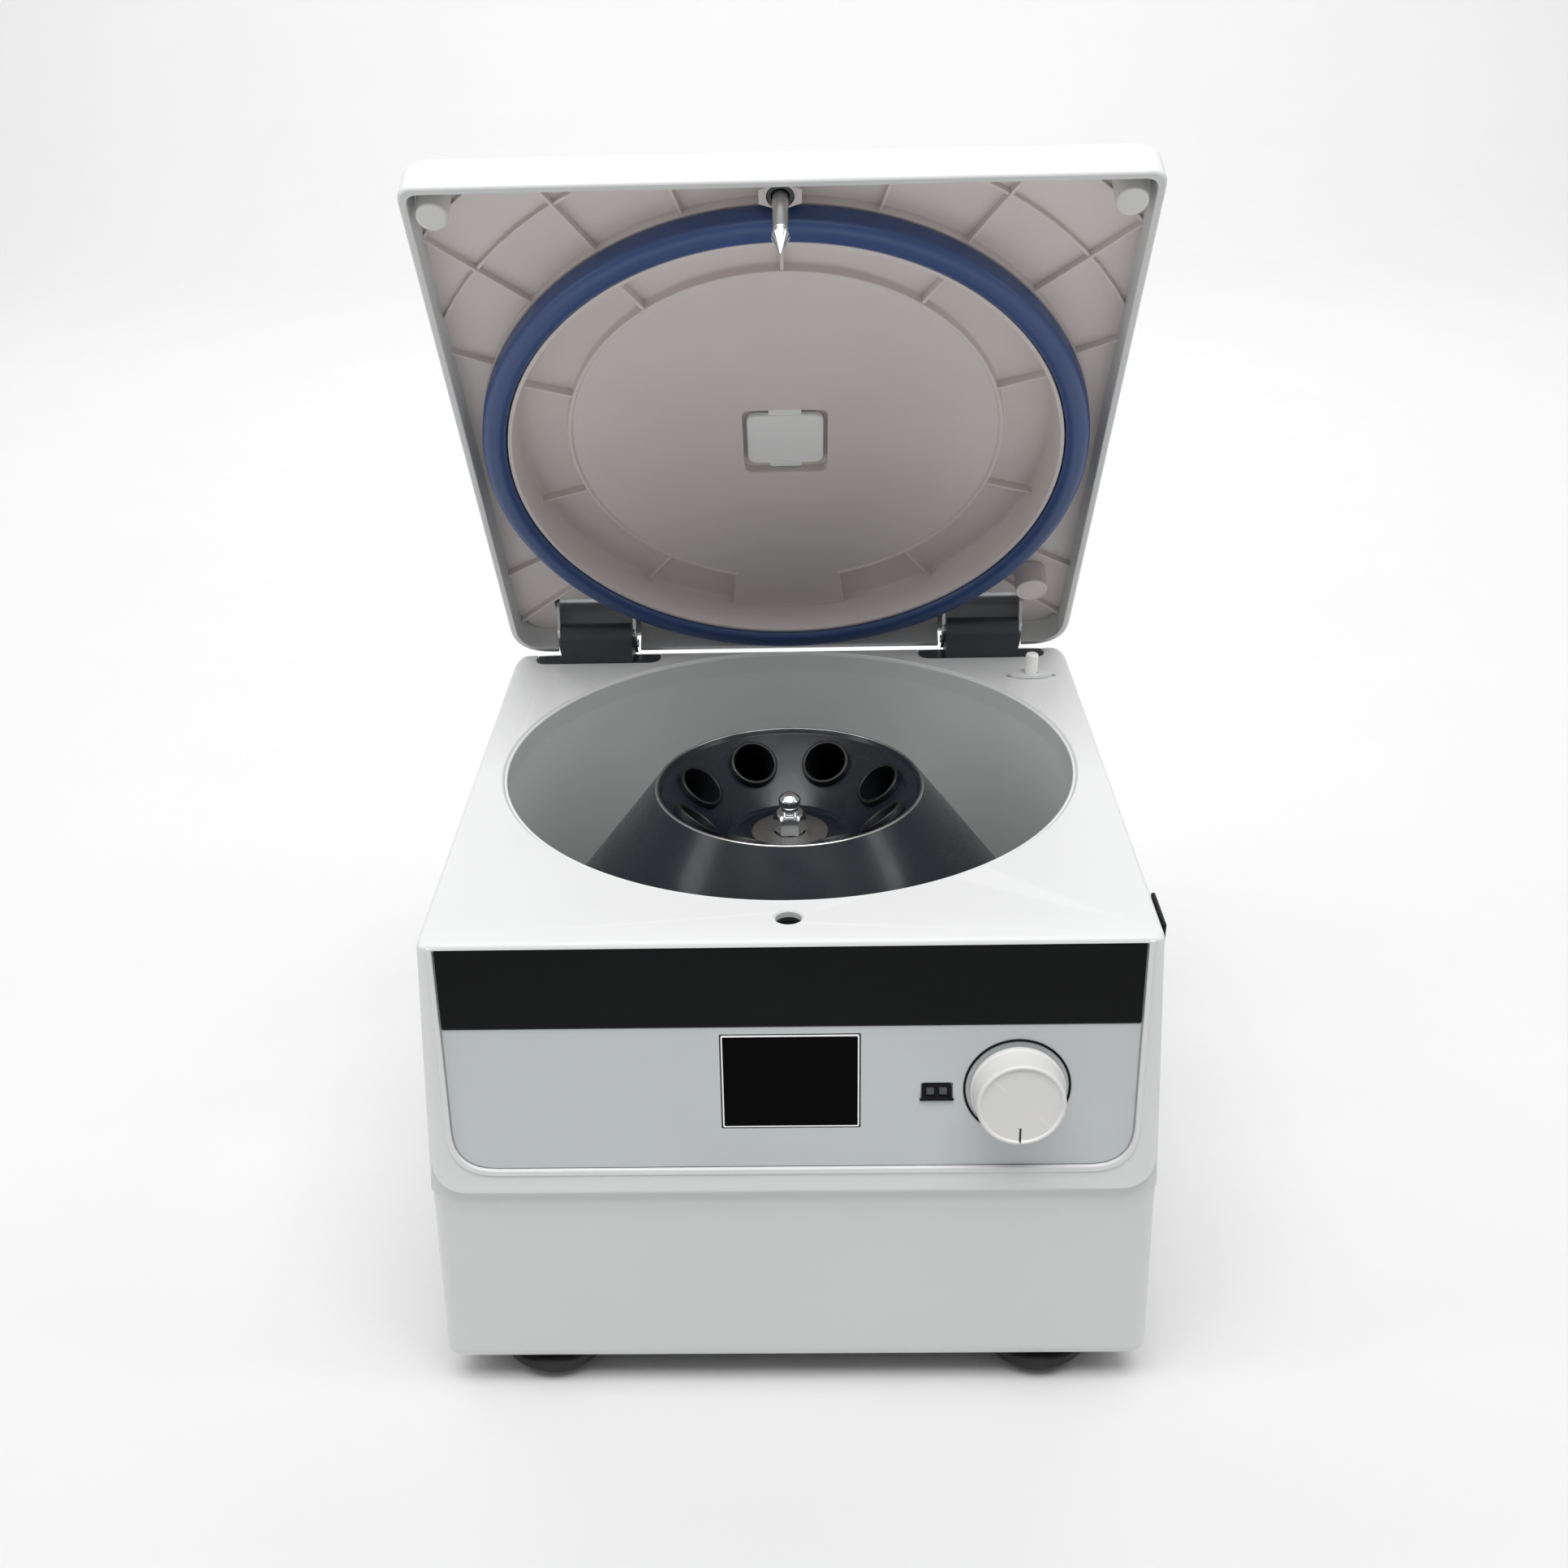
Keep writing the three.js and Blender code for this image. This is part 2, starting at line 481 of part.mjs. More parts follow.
function makeRocker() {
  const outline = new THREE.Shape();
  outline.moveTo(-7.4, -3).lineTo(7.4, -3).lineTo(7.4, 2.8).quadraticCurveTo(0, 0.6, -7.4, 4.4);
  const paddle = slab(outline, -4.8, 4.8, 6);
  const basis = new THREE.Matrix4().makeBasis(
    new THREE.Vector3(0, 1, 0), new THREE.Vector3(1, 0, 0), new THREE.Vector3(0, 0, -1));
  return paddle.applyMatrix4(basis).translate(SIDE_X - 1.2, SWITCH_Y, SWITCH_Z - 0.5);
}
add(base, 'power_rocker', makeRocker(), BLACK_GLOSS);

// ---- Latch under the deck -----------------------------------------------------------------
const LATCH_Y = HINGE_Y - LATCH_S;
function makeLatchHousing() {
  const body = block(-16, 24, LATCH_Y - 8, LATCH_Y + 6, 182, DECK_Z - WALL - GAP);
  const channel = rod(0, LATCH_Y, 185, 220, 4.8, 24);
  const slot = block(-9, 30, LATCH_Y - 5, LATCH_Y + 5, 201, 205.2);
  return cut(body, channel, slot);
}
add(base, 'latch_housing', makeLatchHousing(), DARK_METAL);
add(base, 'latch_hook', block(3.3, 17, LATCH_Y - 4.6, LATCH_Y + 4.6, 201.4, 204.8), STEEL);

// ---- Lid sensor plunger -------------------------------------------------------------------
function makePlungerGuide() {
  const oval = new THREE.Shape();
  oval.absellipse(0, 0, 10, 4.6, 0, Math.PI * 2);
  const bore = rod(0, 0, -20, 5, 3 + GAP, 20);
  const cap = slab(oval, GAP, 1.8, 10);
  const tube = rod(0, 0, -14, 1, 3.8 - GAP, 20);
  return cut(join(cap, tube), bore).translate(PLUNGER_X, PLUNGER_Y, DECK_Z);
}
add(base, 'plunger_guide', makePlungerGuide(), WHITE_SHELL);
const PLUNGER_TOP = 11.5;
const PLUNGER_PROFILE = [[0, -12], [3, -12], [3, PLUNGER_TOP - 2], [2, PLUNGER_TOP - 0.5], [0, PLUNGER_TOP]];
const plunger = turned(PLUNGER_PROFILE, 20).translate(PLUNGER_X, PLUNGER_Y, DECK_Z);
add(base, 'lid_sensor_plunger', plunger, WHITE_SHELL);

// ---- Mains inlet and power board ----------------------------------------------------------
function makeInlet() {
  const flange = block(INLET_X - 16, INLET_X + 16, DECK_BACK + GAP, DECK_BACK + 2,
    INLET_Z - 13, INLET_Z + 13);
  const body = block(INLET_X - 14, INLET_X + 14, DECK_BACK - 20, DECK_BACK + 1, INLET_Z - 11, INLET_Z + 11);
  const socket = block(INLET_X - 12, INLET_X + 12, DECK_BACK - 17, DECK_BACK + 5, INLET_Z - 8, INLET_Z + 8);
  return cut(join(flange, body), socket);
}
add(base, 'mains_inlet', makeInlet(), BLACK_GLOSS);
for (const [name, dx, dz] of [['live', -7, -2], ['earth', 0, 3], ['neutral', 7, -2]]) {
  const x = INLET_X + dx;
  const z = INLET_Z + dz;
  const pin = block(x - 1, x + 1, DECK_BACK - 17 + GAP, DECK_BACK - 3, z - 2, z + 2);
  add(base, `inlet_pin_${name}`, pin, STEEL);
}
add(base, 'power_board', block(-128, -84, 200, 268, FOOT_H + 6, FOOT_H + 36), BOARD_GREEN);

// ---- Hinge brackets on the deck -----------------------------------------------------------
const HINGE_Z = DECK_Z + HINGE_RISE;
const KNUCKLE_R = 4.2;
function makeHingeBracket() {
  const tray = slab(plate(TRAY_X0, TRAY_X1, TRAY_Y0, TRAY_Y1, 6), DECK_Z - 6.2, DECK_Z - REAR_STEP - 0.2);
  const side = new THREE.Shape();
  side.moveTo(TRAY_Y0, DECK_Z - 4).lineTo(TRAY_Y0, DECK_Z + 11.5).lineTo(269.6, DECK_Z + 17.5);
  side.lineTo(273, DECK_Z + 18.5).lineTo(274, HINGE_Z + KNUCKLE_R + 1);
  side.lineTo(HINGE_Y, HINGE_Z + KNUCKLE_R).lineTo(HINGE_Y + 3, HINGE_Z + 3);
  side.lineTo(HINGE_Y + 3.8, HINGE_Z).lineTo(HINGE_Y + 3.8, DECK_Z - 4);
  const upright = slabAlongX(side, HINGE_INNER_X, HINGE_OUTER_X);
  const pinBore = rod(0, 0, 60, 130, HINGE_PIN_R + GAP, 16);
  return cut(join(tray, upright), place(pinBore, 0, HINGE_Y, HINGE_Z, 0, Math.PI / 2));
}
const toLeftHinge = (geometry) => geometry.translate(-HINGE_INNER_X - HINGE_OUTER_X, 0, 0);
add(base, 'hinge_bracket_right', makeHingeBracket(), HINGE_SLATE);
add(base, 'hinge_bracket_left', toLeftHinge(makeHingeBracket()), HINGE_SLATE);

// ---- Lid, modelled closed about the hinge axis and then swung open --------------------------
lid.position.set(0, HINGE_Y, HINGE_Z);
lid.rotation.x = -LID_OPEN;

const level = (z, inset) =>
  ({ z, half: LID_HALF - inset, front: -LID_FRONT + inset, back: LID_BACK - inset });
const aroundRing = (geometry) => geometry.translate(0, LID_CENTRE, 0);

/** Clearance for both hinge brackets, from the lid's back edge forwards and up to a height. */
function hingeNotches(front, top) {
  return [-1, 1].map((side) => {
    const x = (side * (HINGE_INNER_X + HINGE_OUTER_X)) / 2;
    return block(x - 20.5, x + 20.5, front, 12, -8, top);
  });
}

const PAD_X = 125.7;
const PAD_S = LID_FRONT - 12.5;
const PAD_R = 6.2;
const SENSOR_R = 7.5;

function makeLidCover() {
  const outer = loft([level(LID_RIM, 0.5), level(LID_RIM + 1.5, 0), level(LID_SIDE_H, 1),
    level(LID_TOTAL_H - 5, 8), level(LID_TOTAL_H, 24)], 7, 18);
  const inner = loft([level(LID_RIM - 2, 2.4), level(LID_SIDE_H, 3.2), level(LID_TOTAL_H - 6, 11),
    level(LID_TOTAL_H - 2.5, 25)], 5, 16);
  const portHole = aroundRing(block(-14, 14, -14, 14, 10, LID_TOTAL_H + 5));
  return cut(outer, inner, portHole, ...hingeNotches(-3.5, 7.5));
}
add(lid, 'lid_cover', makeLidCover(), WHITE_SHELL);

/** Upright rib on a radius of the ring; degrees are measured from +X towards the lid's front. */
function makeRib(inner, outer, low, high, degrees) {
  return aroundRing(block(inner, outer, -0.8, 0.8, low, high).rotateZ(rad(-degrees)));
}

const annulus = (inner, outer, low, high, sides = 40) =>
  aroundRing(ring([[inner, low], [outer, low], [outer, high], [inner, high]], sides));

/** Liner: an outer frame with ribs, and inside the gasket a deeper trough around a raised disc. */
function makeLidLiner() {
  const frameTop = LINER_FLOOR + LINER_T;
  const troughTop = TROUGH_FLOOR + LINER_T;
  const panel = cut(loft([level(LINER_FLOOR, 3.4), level(frameTop, 3.5)], 6, 17.5),
    aroundRing(rod(0, 0, 0, frameTop + 5, RING_WALL_R + 0.5, 40)));
  const envelope = loft([level(LID_RIM, 2.8), level(frameTop, 3.5), level(troughTop, 3.5)], 6, 17.5);
  const pieces = [annulus(RING_WALL_R, GASKET_IN_R - GAP, LID_RIM, troughTop),
    annulus(RING_WALL_R + 1, GASKET_OUT_R, GASKET_SEAT, LINER_FLOOR + 1),
    aroundRing(rod(0, 0, TROUGH_FLOOR, troughTop, RING_WALL_R + 1, 40)),
    aroundRing(rod(0, 0, DISC_FACE, TROUGH_FLOOR + 1, DISC_R, 40)),
    aroundRing(block(-28, 28, DISC_R - 8, RING_WALL_R + 1, DISC_FACE, TROUGH_FLOOR + 1)),
    block(-7, 7, -LATCH_S - 7, LID_CENTRE - GASKET_OUT_R - GAP, 3, LINER_FLOOR + 1)];
  for (let i = 1; i < 10; i += 1) {
    pieces.push(makeRib(DISC_R - 1, RING_WALL_R + 1, DISC_FACE - 1, TROUGH_FLOOR + 1, -90 + 36 * i));
  }
  for (const degrees of [23.5, 40.5, 57, 73.5, 106.5, 123, 139.5, 156.5, -32, -148]) {
    pieces.push(makeRib(GASKET_OUT_R - 1, 200, GASKET_SEAT + 0.5, LINER_FLOOR + 1, degrees));
  }
  const framing = pieces.reduce((whole, piece) => whole.add(solidOf(piece)), solidOf(panel));
  const liner = geometryOf(framing.intersect(solidOf(envelope)));
  const capHole = aroundRing(block(-14, 14, -14, 14, 0, 30));
  const capPocket = aroundRing(block(-18.3, 18.3, -19, 19, 0, TROUGH_FLOOR + 0.6));
  const pinHole = rod(0, -LATCH_S, -5, 30, LATCH_PIN_R + 2.2, 20);
  const studs = [[-PAD_X, PAD_S, PAD_R], [PAD_X, PAD_S, PAD_R], [PLUNGER_X, HINGE_Y - PLUNGER_Y, SENSOR_R]];
  const studRoom = studs.map(([x, forward, radius]) => rod(x, -forward, -8, LINER_FLOOR, radius + GAP, 24));
  return cut(liner, capPocket, capHole, pinHole, ...studRoom, ...hingeNotches(-22, 20));
}
add(lid, 'lid_liner', makeLidLiner(), BOWL_GREY);

function makeGasket() {
  const section = [[GASKET_IN_R + 2.5, GASKET_LOW], [GASKET_OUT_R - 2.5, GASKET_LOW],
    [GASKET_OUT_R, GASKET_LOW + 3], [GASKET_OUT_R, GASKET_SEAT - GAP],
    [GASKET_IN_R, GASKET_SEAT - GAP], [GASKET_IN_R, GASKET_LOW + 3]];
  return aroundRing(ring(section, 40));
}
add(lid, 'lid_gasket', makeGasket(), GASKET_BLUE);

const PIN_PROFILE = [[0, LATCH_PIN_TIP], [0.4, LATCH_PIN_TIP], [LATCH_PIN_R + 0.6, LATCH_PIN_TIP + 9],
  [LATCH_PIN_R, LATCH_PIN_TIP + 11], [LATCH_PIN_R, 18], [0, 18]];
add(lid, 'latch_pin', turned(PIN_PROFILE, 20).translate(0, -LATCH_S, 0), STEEL);
const BUSH_TOP = LINER_FLOOR + LINER_T;
const BUSH_SECTION = [[LATCH_PIN_R + GAP, 2.5], [4.9, 2.5], [4.9, BUSH_TOP], [LATCH_PIN_R + GAP, BUSH_TOP]];
add(lid, 'latch_pin_bush', ring(BUSH_SECTION, 20).translate(0, -LATCH_S, 0), DARK_METAL);

function makePortCap() {
  const back = TROUGH_FLOOR + GAP;
  const plug = slab(plate(-13.7, 13.7, -13.7, 13.7, 3), back - 1, LID_TOTAL_H);
  const face = slab(plate(-16.6, 16.6, -14.5, 14.5, 4), DISC_FACE + 1, back);
  const tabs = block(-7, 7, -17.5, 17.5, DISC_FACE + 1.6, back);
  return aroundRing(join(plug, face, tabs));
}
add(lid, 'lid_port_cap', makePortCap(), KNOB_WHITE);

for (const [side, x] of [['left', -PAD_X], ['right', PAD_X]]) {
  const low = LID_RIM - 0.8;
  const high = LINER_FLOOR - GAP;
  const profile = [[0, low], [5, low], [PAD_R, low + 1.2], [PAD_R, high], [0, high]];
  add(lid, `lid_pad_${side}`, turned(profile, 20).translate(x, -PAD_S, 0), KNOB_WHITE);
}
const SENSOR_PROFILE = [[0, -1], [SENSOR_R - 1, -1], [SENSOR_R, 0], [SENSOR_R, LINER_FLOOR - GAP],
  [0, LINER_FLOOR - GAP]];
const sensorBoss = turned(SENSOR_PROFILE, 24).translate(PLUNGER_X, PLUNGER_Y - HINGE_Y, 0);
add(lid, 'lid_sensor_boss', sensorBoss, KNOB_WHITE);

/** U-shaped steel hinge: two ears on the pin and a web under the lid roof. */
function makeLidHinge() {
  const webLow = 17.4;
  const ear = new THREE.Shape();
  ear.absarc(0, 0, KNUCKLE_R - 0.4, Math.PI * 0.5, Math.PI * 1.5, true);
  ear.lineTo(-12, -1).lineTo(-20, 8).lineTo(-20, webLow + 1).lineTo(-4, webLow + 1);
  const inner = slabAlongX(ear, HINGE_INNER_X - 1.9, HINGE_INNER_X - 0.4);
  const outer = slabAlongX(ear, HINGE_OUTER_X + 0.4, HINGE_OUTER_X + 1.9);
  const web = block(HINGE_INNER_X - 1.9, HINGE_OUTER_X + 1.9, -20, -4, webLow, webLow + 1.4);
  return join(inner, outer, web);
}
const makeHingePin = () => {
  const pin = rod(0, 0, HINGE_INNER_X - 2.4, HINGE_OUTER_X + 2.4, HINGE_PIN_R, 16);
  return place(pin, 0, 0, 0, 0, Math.PI / 2);
};
const pinHole = () => place(rod(0, 0, 60, 130, HINGE_PIN_R + GAP, 16), 0, 0, 0, 0, Math.PI / 2);
const hingeRight = cut(makeLidHinge(), pinHole());
add(lid, 'lid_hinge_right', hingeRight, STEEL);
add(lid, 'lid_hinge_left', toLeftHinge(hingeRight.clone()), STEEL);
add(lid, 'hinge_pin_right', makeHingePin(), STEEL);
add(lid, 'hinge_pin_left', toLeftHinge(makeHingePin()), STEEL);

// ---- Whole object, centred over the middle of its footprint ---------------------------------
const centrifuge = new THREE.Group();
centrifuge.add(base, spindle, fascia, lid);
centrifuge.updateMatrixWorld(true);
const extent = new THREE.Box3().setFromObject(centrifuge, true);
const middle = extent.getCenter(new THREE.Vector3());
centrifuge.position.set(-middle.x, -middle.y, -extent.min.z);

export default centrifuge;
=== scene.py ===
"""Bench centrifuge with its lid open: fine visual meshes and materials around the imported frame."""
import json
import math

import bmesh
import bpy
from mathutils import Matrix, Vector


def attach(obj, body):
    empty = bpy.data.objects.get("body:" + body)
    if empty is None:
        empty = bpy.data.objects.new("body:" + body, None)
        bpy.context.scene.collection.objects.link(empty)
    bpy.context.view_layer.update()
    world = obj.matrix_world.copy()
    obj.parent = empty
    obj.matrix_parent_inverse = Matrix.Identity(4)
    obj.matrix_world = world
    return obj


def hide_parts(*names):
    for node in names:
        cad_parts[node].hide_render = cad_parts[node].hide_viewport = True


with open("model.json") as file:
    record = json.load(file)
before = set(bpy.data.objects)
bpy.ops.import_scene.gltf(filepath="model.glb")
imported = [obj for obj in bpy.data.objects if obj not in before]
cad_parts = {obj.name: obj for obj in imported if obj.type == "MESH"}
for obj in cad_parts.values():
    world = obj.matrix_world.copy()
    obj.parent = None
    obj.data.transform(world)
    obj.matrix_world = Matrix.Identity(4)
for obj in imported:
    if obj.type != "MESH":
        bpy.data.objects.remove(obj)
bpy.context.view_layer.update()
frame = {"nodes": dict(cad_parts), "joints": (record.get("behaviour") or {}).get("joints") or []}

# ---- Shared dimensions, in millimetres -------------------------------------------------------
# Three local frames: the housing (y from the deck's front edge, z from the table), the fascia
# (z down its slope from the deck edge) and the lid (closed, about its hinge axis).
MM = 0.001
DECK = 210.0
AXIS_Y = 153.0
HINGE_Y = 280.0
HINGE_Z = 214.5
OPEN = math.radians(57.4)
TILT = math.radians(8)
FASCIA_H = 94.0
BACK = 285.0
LOW_FRONT = -11.6            # face of the lower front, behind the fascia apron
MOUTH_R = 122.0
LATCH_Y = 17.5
LATCH_S = HINGE_Y - LATCH_Y
PLUNGER_X, PLUNGER_Y = 115.5, 242.0
GUIDE_HOLE_X = 8.2 * 1.28
RING_S = 127.5               # ring gasket centre ahead of the hinge axis

joints = {joint["name"]: joint for joint in frame["joints"]}
SPIN = Vector(joints["rotor_spin"]["pos_m"])
SHIFT_Y = SPIN.y - AXIS_Y * MM
HOUSING = Matrix.Translation((0, SHIFT_Y, 0)) @ Matrix.Scale(MM, 4)
FASCIA = HOUSING @ Matrix.Translation((0, 0, DECK)) @ Matrix.Rotation(-TILT, 4, "X")
ROTOR = HOUSING @ Matrix.Translation((0, AXIS_Y, DECK))
LID = HOUSING @ Matrix.Translation((0, HINGE_Y, HINGE_Z)) @ Matrix.Rotation(-OPEN, 4, "X")


# ---- Materials -------------------------------------------------------------------------------
def plastic(name, color, rough, bump=0.08, grain=900, variation=0.05,
            coat=0.0, metal=0.0, wear=0.35, specular=0.5):
    """Moulded or metal surface: colour drift, roughness drift, fine grain bump and worn edges."""
    material = bpy.data.materials.new(name)
    material.use_nodes = True
    tree = material.node_tree
    shader = tree.nodes["Principled BSDF"]
    shader.inputs["Metallic"].default_value = metal
    shader.inputs["Coat Weight"].default_value = coat
    shader.inputs["Coat Roughness"].default_value = 0.06
    shader.inputs["Specular IOR Level"].default_value = specular
    link = tree.links.new
    coords = tree.nodes.new("ShaderNodeTexCoord")

    def noise(scale, detail):
        node = tree.nodes.new("ShaderNodeTexNoise")
        node.inputs["Scale"].default_value = scale
        node.inputs["Detail"].default_value = detail
        link(coords.outputs["Object"], node.inputs["Vector"])
        return node.outputs["Fac"]

    def ramp(source, low, high, start=0.35, end=0.65):
        node = tree.nodes.new("ShaderNodeMapRange")
        node.inputs["From Min"].default_value = start
        node.inputs["From Max"].default_value = end
        node.inputs["To Min"].default_value = low
        node.inputs["To Max"].default_value = high
        link(source, node.inputs["Value"])
        return node.outputs["Result"]

    def mix(factor, a, b):
        node = tree.nodes.new("ShaderNodeMix")
        node.data_type = "RGBA"
        link(factor, node.inputs["Factor"])
        for socket, value in ((node.inputs["A"], a), (node.inputs["B"], b)):
            if isinstance(value, tuple):
                socket.default_value = (*value, 1)
            else:
                link(value, socket)
        return node.outputs["Result"]

    darker = tuple(c * (1 - variation) for c in color)
    lighter = tuple(min(1, c * (1 + variation)) for c in color)
    drift = mix(ramp(noise(9, 3), 0, 1), darker, lighter)
    geometry = tree.nodes.new("ShaderNodeNewGeometry")
    edge = ramp(geometry.outputs["Pointiness"], 0, wear, 0.52, 0.60)
    worn = tuple(min(1, c * 1.12 + 0.015) for c in color)
    link(mix(edge, drift, worn), shader.inputs["Base Color"])
    link(ramp(noise(60, 4), rough * 0.88, rough * 1.14), shader.inputs["Roughness"])
    bumper = tree.nodes.new("ShaderNodeBump")
    bumper.inputs["Strength"].default_value = bump
    bumper.inputs["Distance"].default_value = 0.0002
    link(noise(grain, 2), bumper.inputs["Height"])
    link(bumper.outputs["Normal"], shader.inputs["Normal"])
    return material


WHITE = plastic("white_abs", (0.72, 0.73, 0.725), 0.42, bump=0.10, grain=1100, variation=0.012)
PANEL = plastic("silver_panel", (0.56, 0.59, 0.60),
                0.45, bump=0.05, grain=1500, variation=0.025, metal=0.1)
GLOSS = plastic("black_gloss", (0.004, 0.0045, 0.005),
                0.22, bump=0.01, variation=0.1, specular=0.12)
SCREEN = plastic("screen_glass", (0.001, 0.001, 0.001),
                 0.15, bump=0.0, variation=0.1, specular=0.03)
BOWL = plastic("bowl_grey", (0.72, 0.735, 0.73), 0.4, bump=0.04, grain=700, variation=0.03)
LINER = plastic("liner_grey", (0.74, 0.685, 0.665), 0.5, bump=0.08, grain=800, variation=0.04)
BLACK = plastic("rotor_black", (0.011, 0.014, 0.020),
                0.27, bump=0.04, grain=700, variation=0.15, coat=0.08, wear=0.0)
SOCKET = plastic("socket_black", (0.006, 0.007, 0.009),
                 0.4, bump=0.06, grain=700, variation=0.15, wear=0.0)
SLATE = plastic("hinge_slate", (0.030, 0.036, 0.043), 0.45, bump=0.12, grain=900, variation=0.08)
BLUE = plastic("gasket_blue", (0.040, 0.080, 0.215), 0.40, bump=0.06, grain=500, variation=0.06)
RUBBER = plastic("black_rubber", (0.012, 0.012, 0.012), 0.75, bump=0.2, grain=600, variation=0.2)
CHROME = plastic("bright_steel", (0.82, 0.83, 0.84),
                 0.14, bump=0.02, grain=400, variation=0.03, metal=1.0)
STEEL = plastic("brushed_steel", (0.55, 0.55, 0.54),
                0.3, bump=0.08, grain=500, variation=0.06, metal=1.0)
CAP = plastic("cap_white", (0.95, 0.95, 0.94), 0.4, bump=0.05, variation=0.015)
KNOB = plastic("knob_white", (0.74, 0.735, 0.72), 0.4, bump=0.06, variation=0.02)
INK = plastic("pointer_ink", (0.02, 0.02, 0.02), 0.5, bump=0.02)
METAL = plastic("cast_metal", (0.12, 0.125, 0.13),
                0.5, bump=0.25, grain=300, variation=0.1, metal=0.8)
BOARD = plastic("circuit_green", (0.012, 0.09, 0.045), 0.4, bump=0.05, variation=0.1)


# ---- Mesh helpers ----------------------------------------------------------------------------
def fillet(points, radius, closed=False, steps=4):
    """Rounds the corners of a 2-D line; a third value on a point is that corner's own radius."""
    result = []
    count = len(points)
    for index, point in enumerate(points):
        here = Vector(point[:2])
        own = point[2] if len(point) > 2 else radius
        if own <= 0 or (not closed and index in (0, count - 1)):
            result.append(tuple(here))
            continue
        before = Vector(points[index - 1][:2]) - here
        after = Vector(points[(index + 1) % count][:2]) - here
        turn = before.angle(after)
        reach = min(own / math.tan(turn / 2), before.length * 0.49, after.length * 0.49)
        start = here + before.normalized() * reach
        end = here + after.normalized() * reach
        for step in range(steps + 1):
            t = step / steps
            result.append(tuple(start * (1 - t) ** 2 + here * 2 * t * (1 - t) + end * t ** 2))
    return result


def raw(name, verts, faces):
    mesh = bpy.data.meshes.new(name)
    mesh.from_pydata([tuple(v) for v in verts], [], faces)
    mesh.update()
    piece = bpy.data.objects.new(name, mesh)
    bpy.context.scene.collection.objects.link(piece)
    build = bmesh.new()
    build.from_mesh(mesh)
    bmesh.ops.remove_doubles(build, verts=build.verts, dist=1e-5)
    bmesh.ops.recalc_face_normals(build, faces=build.faces)
    build.to_mesh(mesh)
    build.free()
    return piece


def lathe(name, profile, sides=128, closed=False):
    """Turns (radius, height) points about Z; a closed profile makes a ring."""
    verts, faces = [], []
    rows = len(profile)
    for step in range(sides):
        angle = 2 * math.pi * step / sides
        verts += [(r * math.cos(angle), r * math.sin(angle), z) for r, z in profile]
    for step in range(sides):
        a, b = step * rows, ((step + 1) % sides) * rows
        for row in range(rows if closed else rows - 1):
            after = (row + 1) % rows
            faces.append((a + row, b + row, b + after, a + after))
    return raw(name, verts, faces)


def bore(radius, low, high, sides=40):
    """Plain round cutter about Z."""
    return lathe("bore", [(0, low), (radius, low), (radius, high), (0, high)], sides)


def prism(name, outline, low, high, axis="Z"):
    """Extrudes a closed outline along Z, or along X for an outline in the YZ plane."""
    count = len(outline)
    ends = []
    for height in (low, high):
        for a, b in outline:
            ends.append((a, b, height) if axis == "Z" else (height, a, b))
    faces = [tuple(range(count)), tuple(range(2 * count - 1, count - 1, -1))]
    faces += [(i, (i + 1) % count, count + (i + 1) % count, count + i) for i in range(count)]
    return raw(name, ends, faces)


def block(x0, x1, y0, y1, z0, z1, name="tool"):
    return prism(name, [(x0, y0), (x1, y0), (x1, y1), (x0, y1)], z0, z1)


def rounded(x0, x1, y0, y1, low, high=None, steps=8):
    high = low if high is None else high
    return fillet([(x0, y0, low), (x1, y0, low), (x1, y1, high), (x0, y1, high)], 0, True, steps)


def loft(name, levels, front_r, back_r, steps=8):
    """Stacks rounded rectangles: each level is (z, half-width, front, back)."""
    verts, faces = [], []
    rows = [rounded(-half, half, front, back, front_r, back_r, steps) for _, half, front, back in levels]
    count = len(rows[0])
    for row, level in zip(rows, levels):
        verts += [(x, y, level[0]) for x, y in row]
    for row in range(len(levels) - 1):
        for i in range(count):
            j = (i + 1) % count
            faces.append((row * count + i, row * count + j, (row + 1) * count + j, (row + 1) * count + i))
    faces.append(tuple(range(count)))
    faces.append(tuple(range(len(verts) - 1, len(verts) - 1 - count, -1)))
    return raw(name, verts, faces)


def drop(piece):
    mesh = piece.data
    bpy.data.objects.remove(piece)
    bpy.data.meshes.remove(mesh)


def apply_modifiers(piece):
    graph = bpy.context.evaluated_depsgraph_get()
    graph.update()
    mesh = bpy.data.meshes.new_from_object(piece.evaluated_get(graph))
    old = piece.data
    piece.modifiers.clear()
    piece.data = mesh
    bpy.data.meshes.remove(old)
    return piece


def combine(piece, tools, operation):
    """Exact boolean of a piece with a list of tools, which are used up."""
    for tool in tools:
        modifier = piece.modifiers.new("boolean", "BOOLEAN")
        modifier.operation = operation
        modifier.solver = "EXACT"
        modifier.object = tool
        apply_modifiers(piece)
        drop(tool)
    return piece


def cut(piece, *tools):
    return combine(piece, tools, "DIFFERENCE")


def join(piece, *tools):
    return combine(piece, tools, "UNION")


def soften(piece, width, segments=3, angle=35):
    """Rounds the sharp edges of a finished shape."""
    build = bmesh.new()
    build.from_mesh(piece.data)
    bmesh.ops.remove_doubles(build, verts=build.verts, dist=0.01)
    bmesh.ops.dissolve_limit(build, angle_limit=math.radians(0.5), verts=build.verts, edges=build.edges)
    build.to_mesh(piece.data)
    build.free()
    modifier = piece.modifiers.new("bevel", "BEVEL")
    modifier.width = width
    modifier.segments = segments
    modifier.limit_method = "ANGLE"
    modifier.angle_limit = math.radians(angle)
    modifier.use_clamp_overlap = True
    return apply_modifiers(piece)


def turn(piece, *matrices):
    for matrix in matrices:
        piece.data.transform(matrix)
    return piece


def move(piece, x=0, y=0, z=0):
    return turn(piece, Matrix.Translation((x, y, z)))


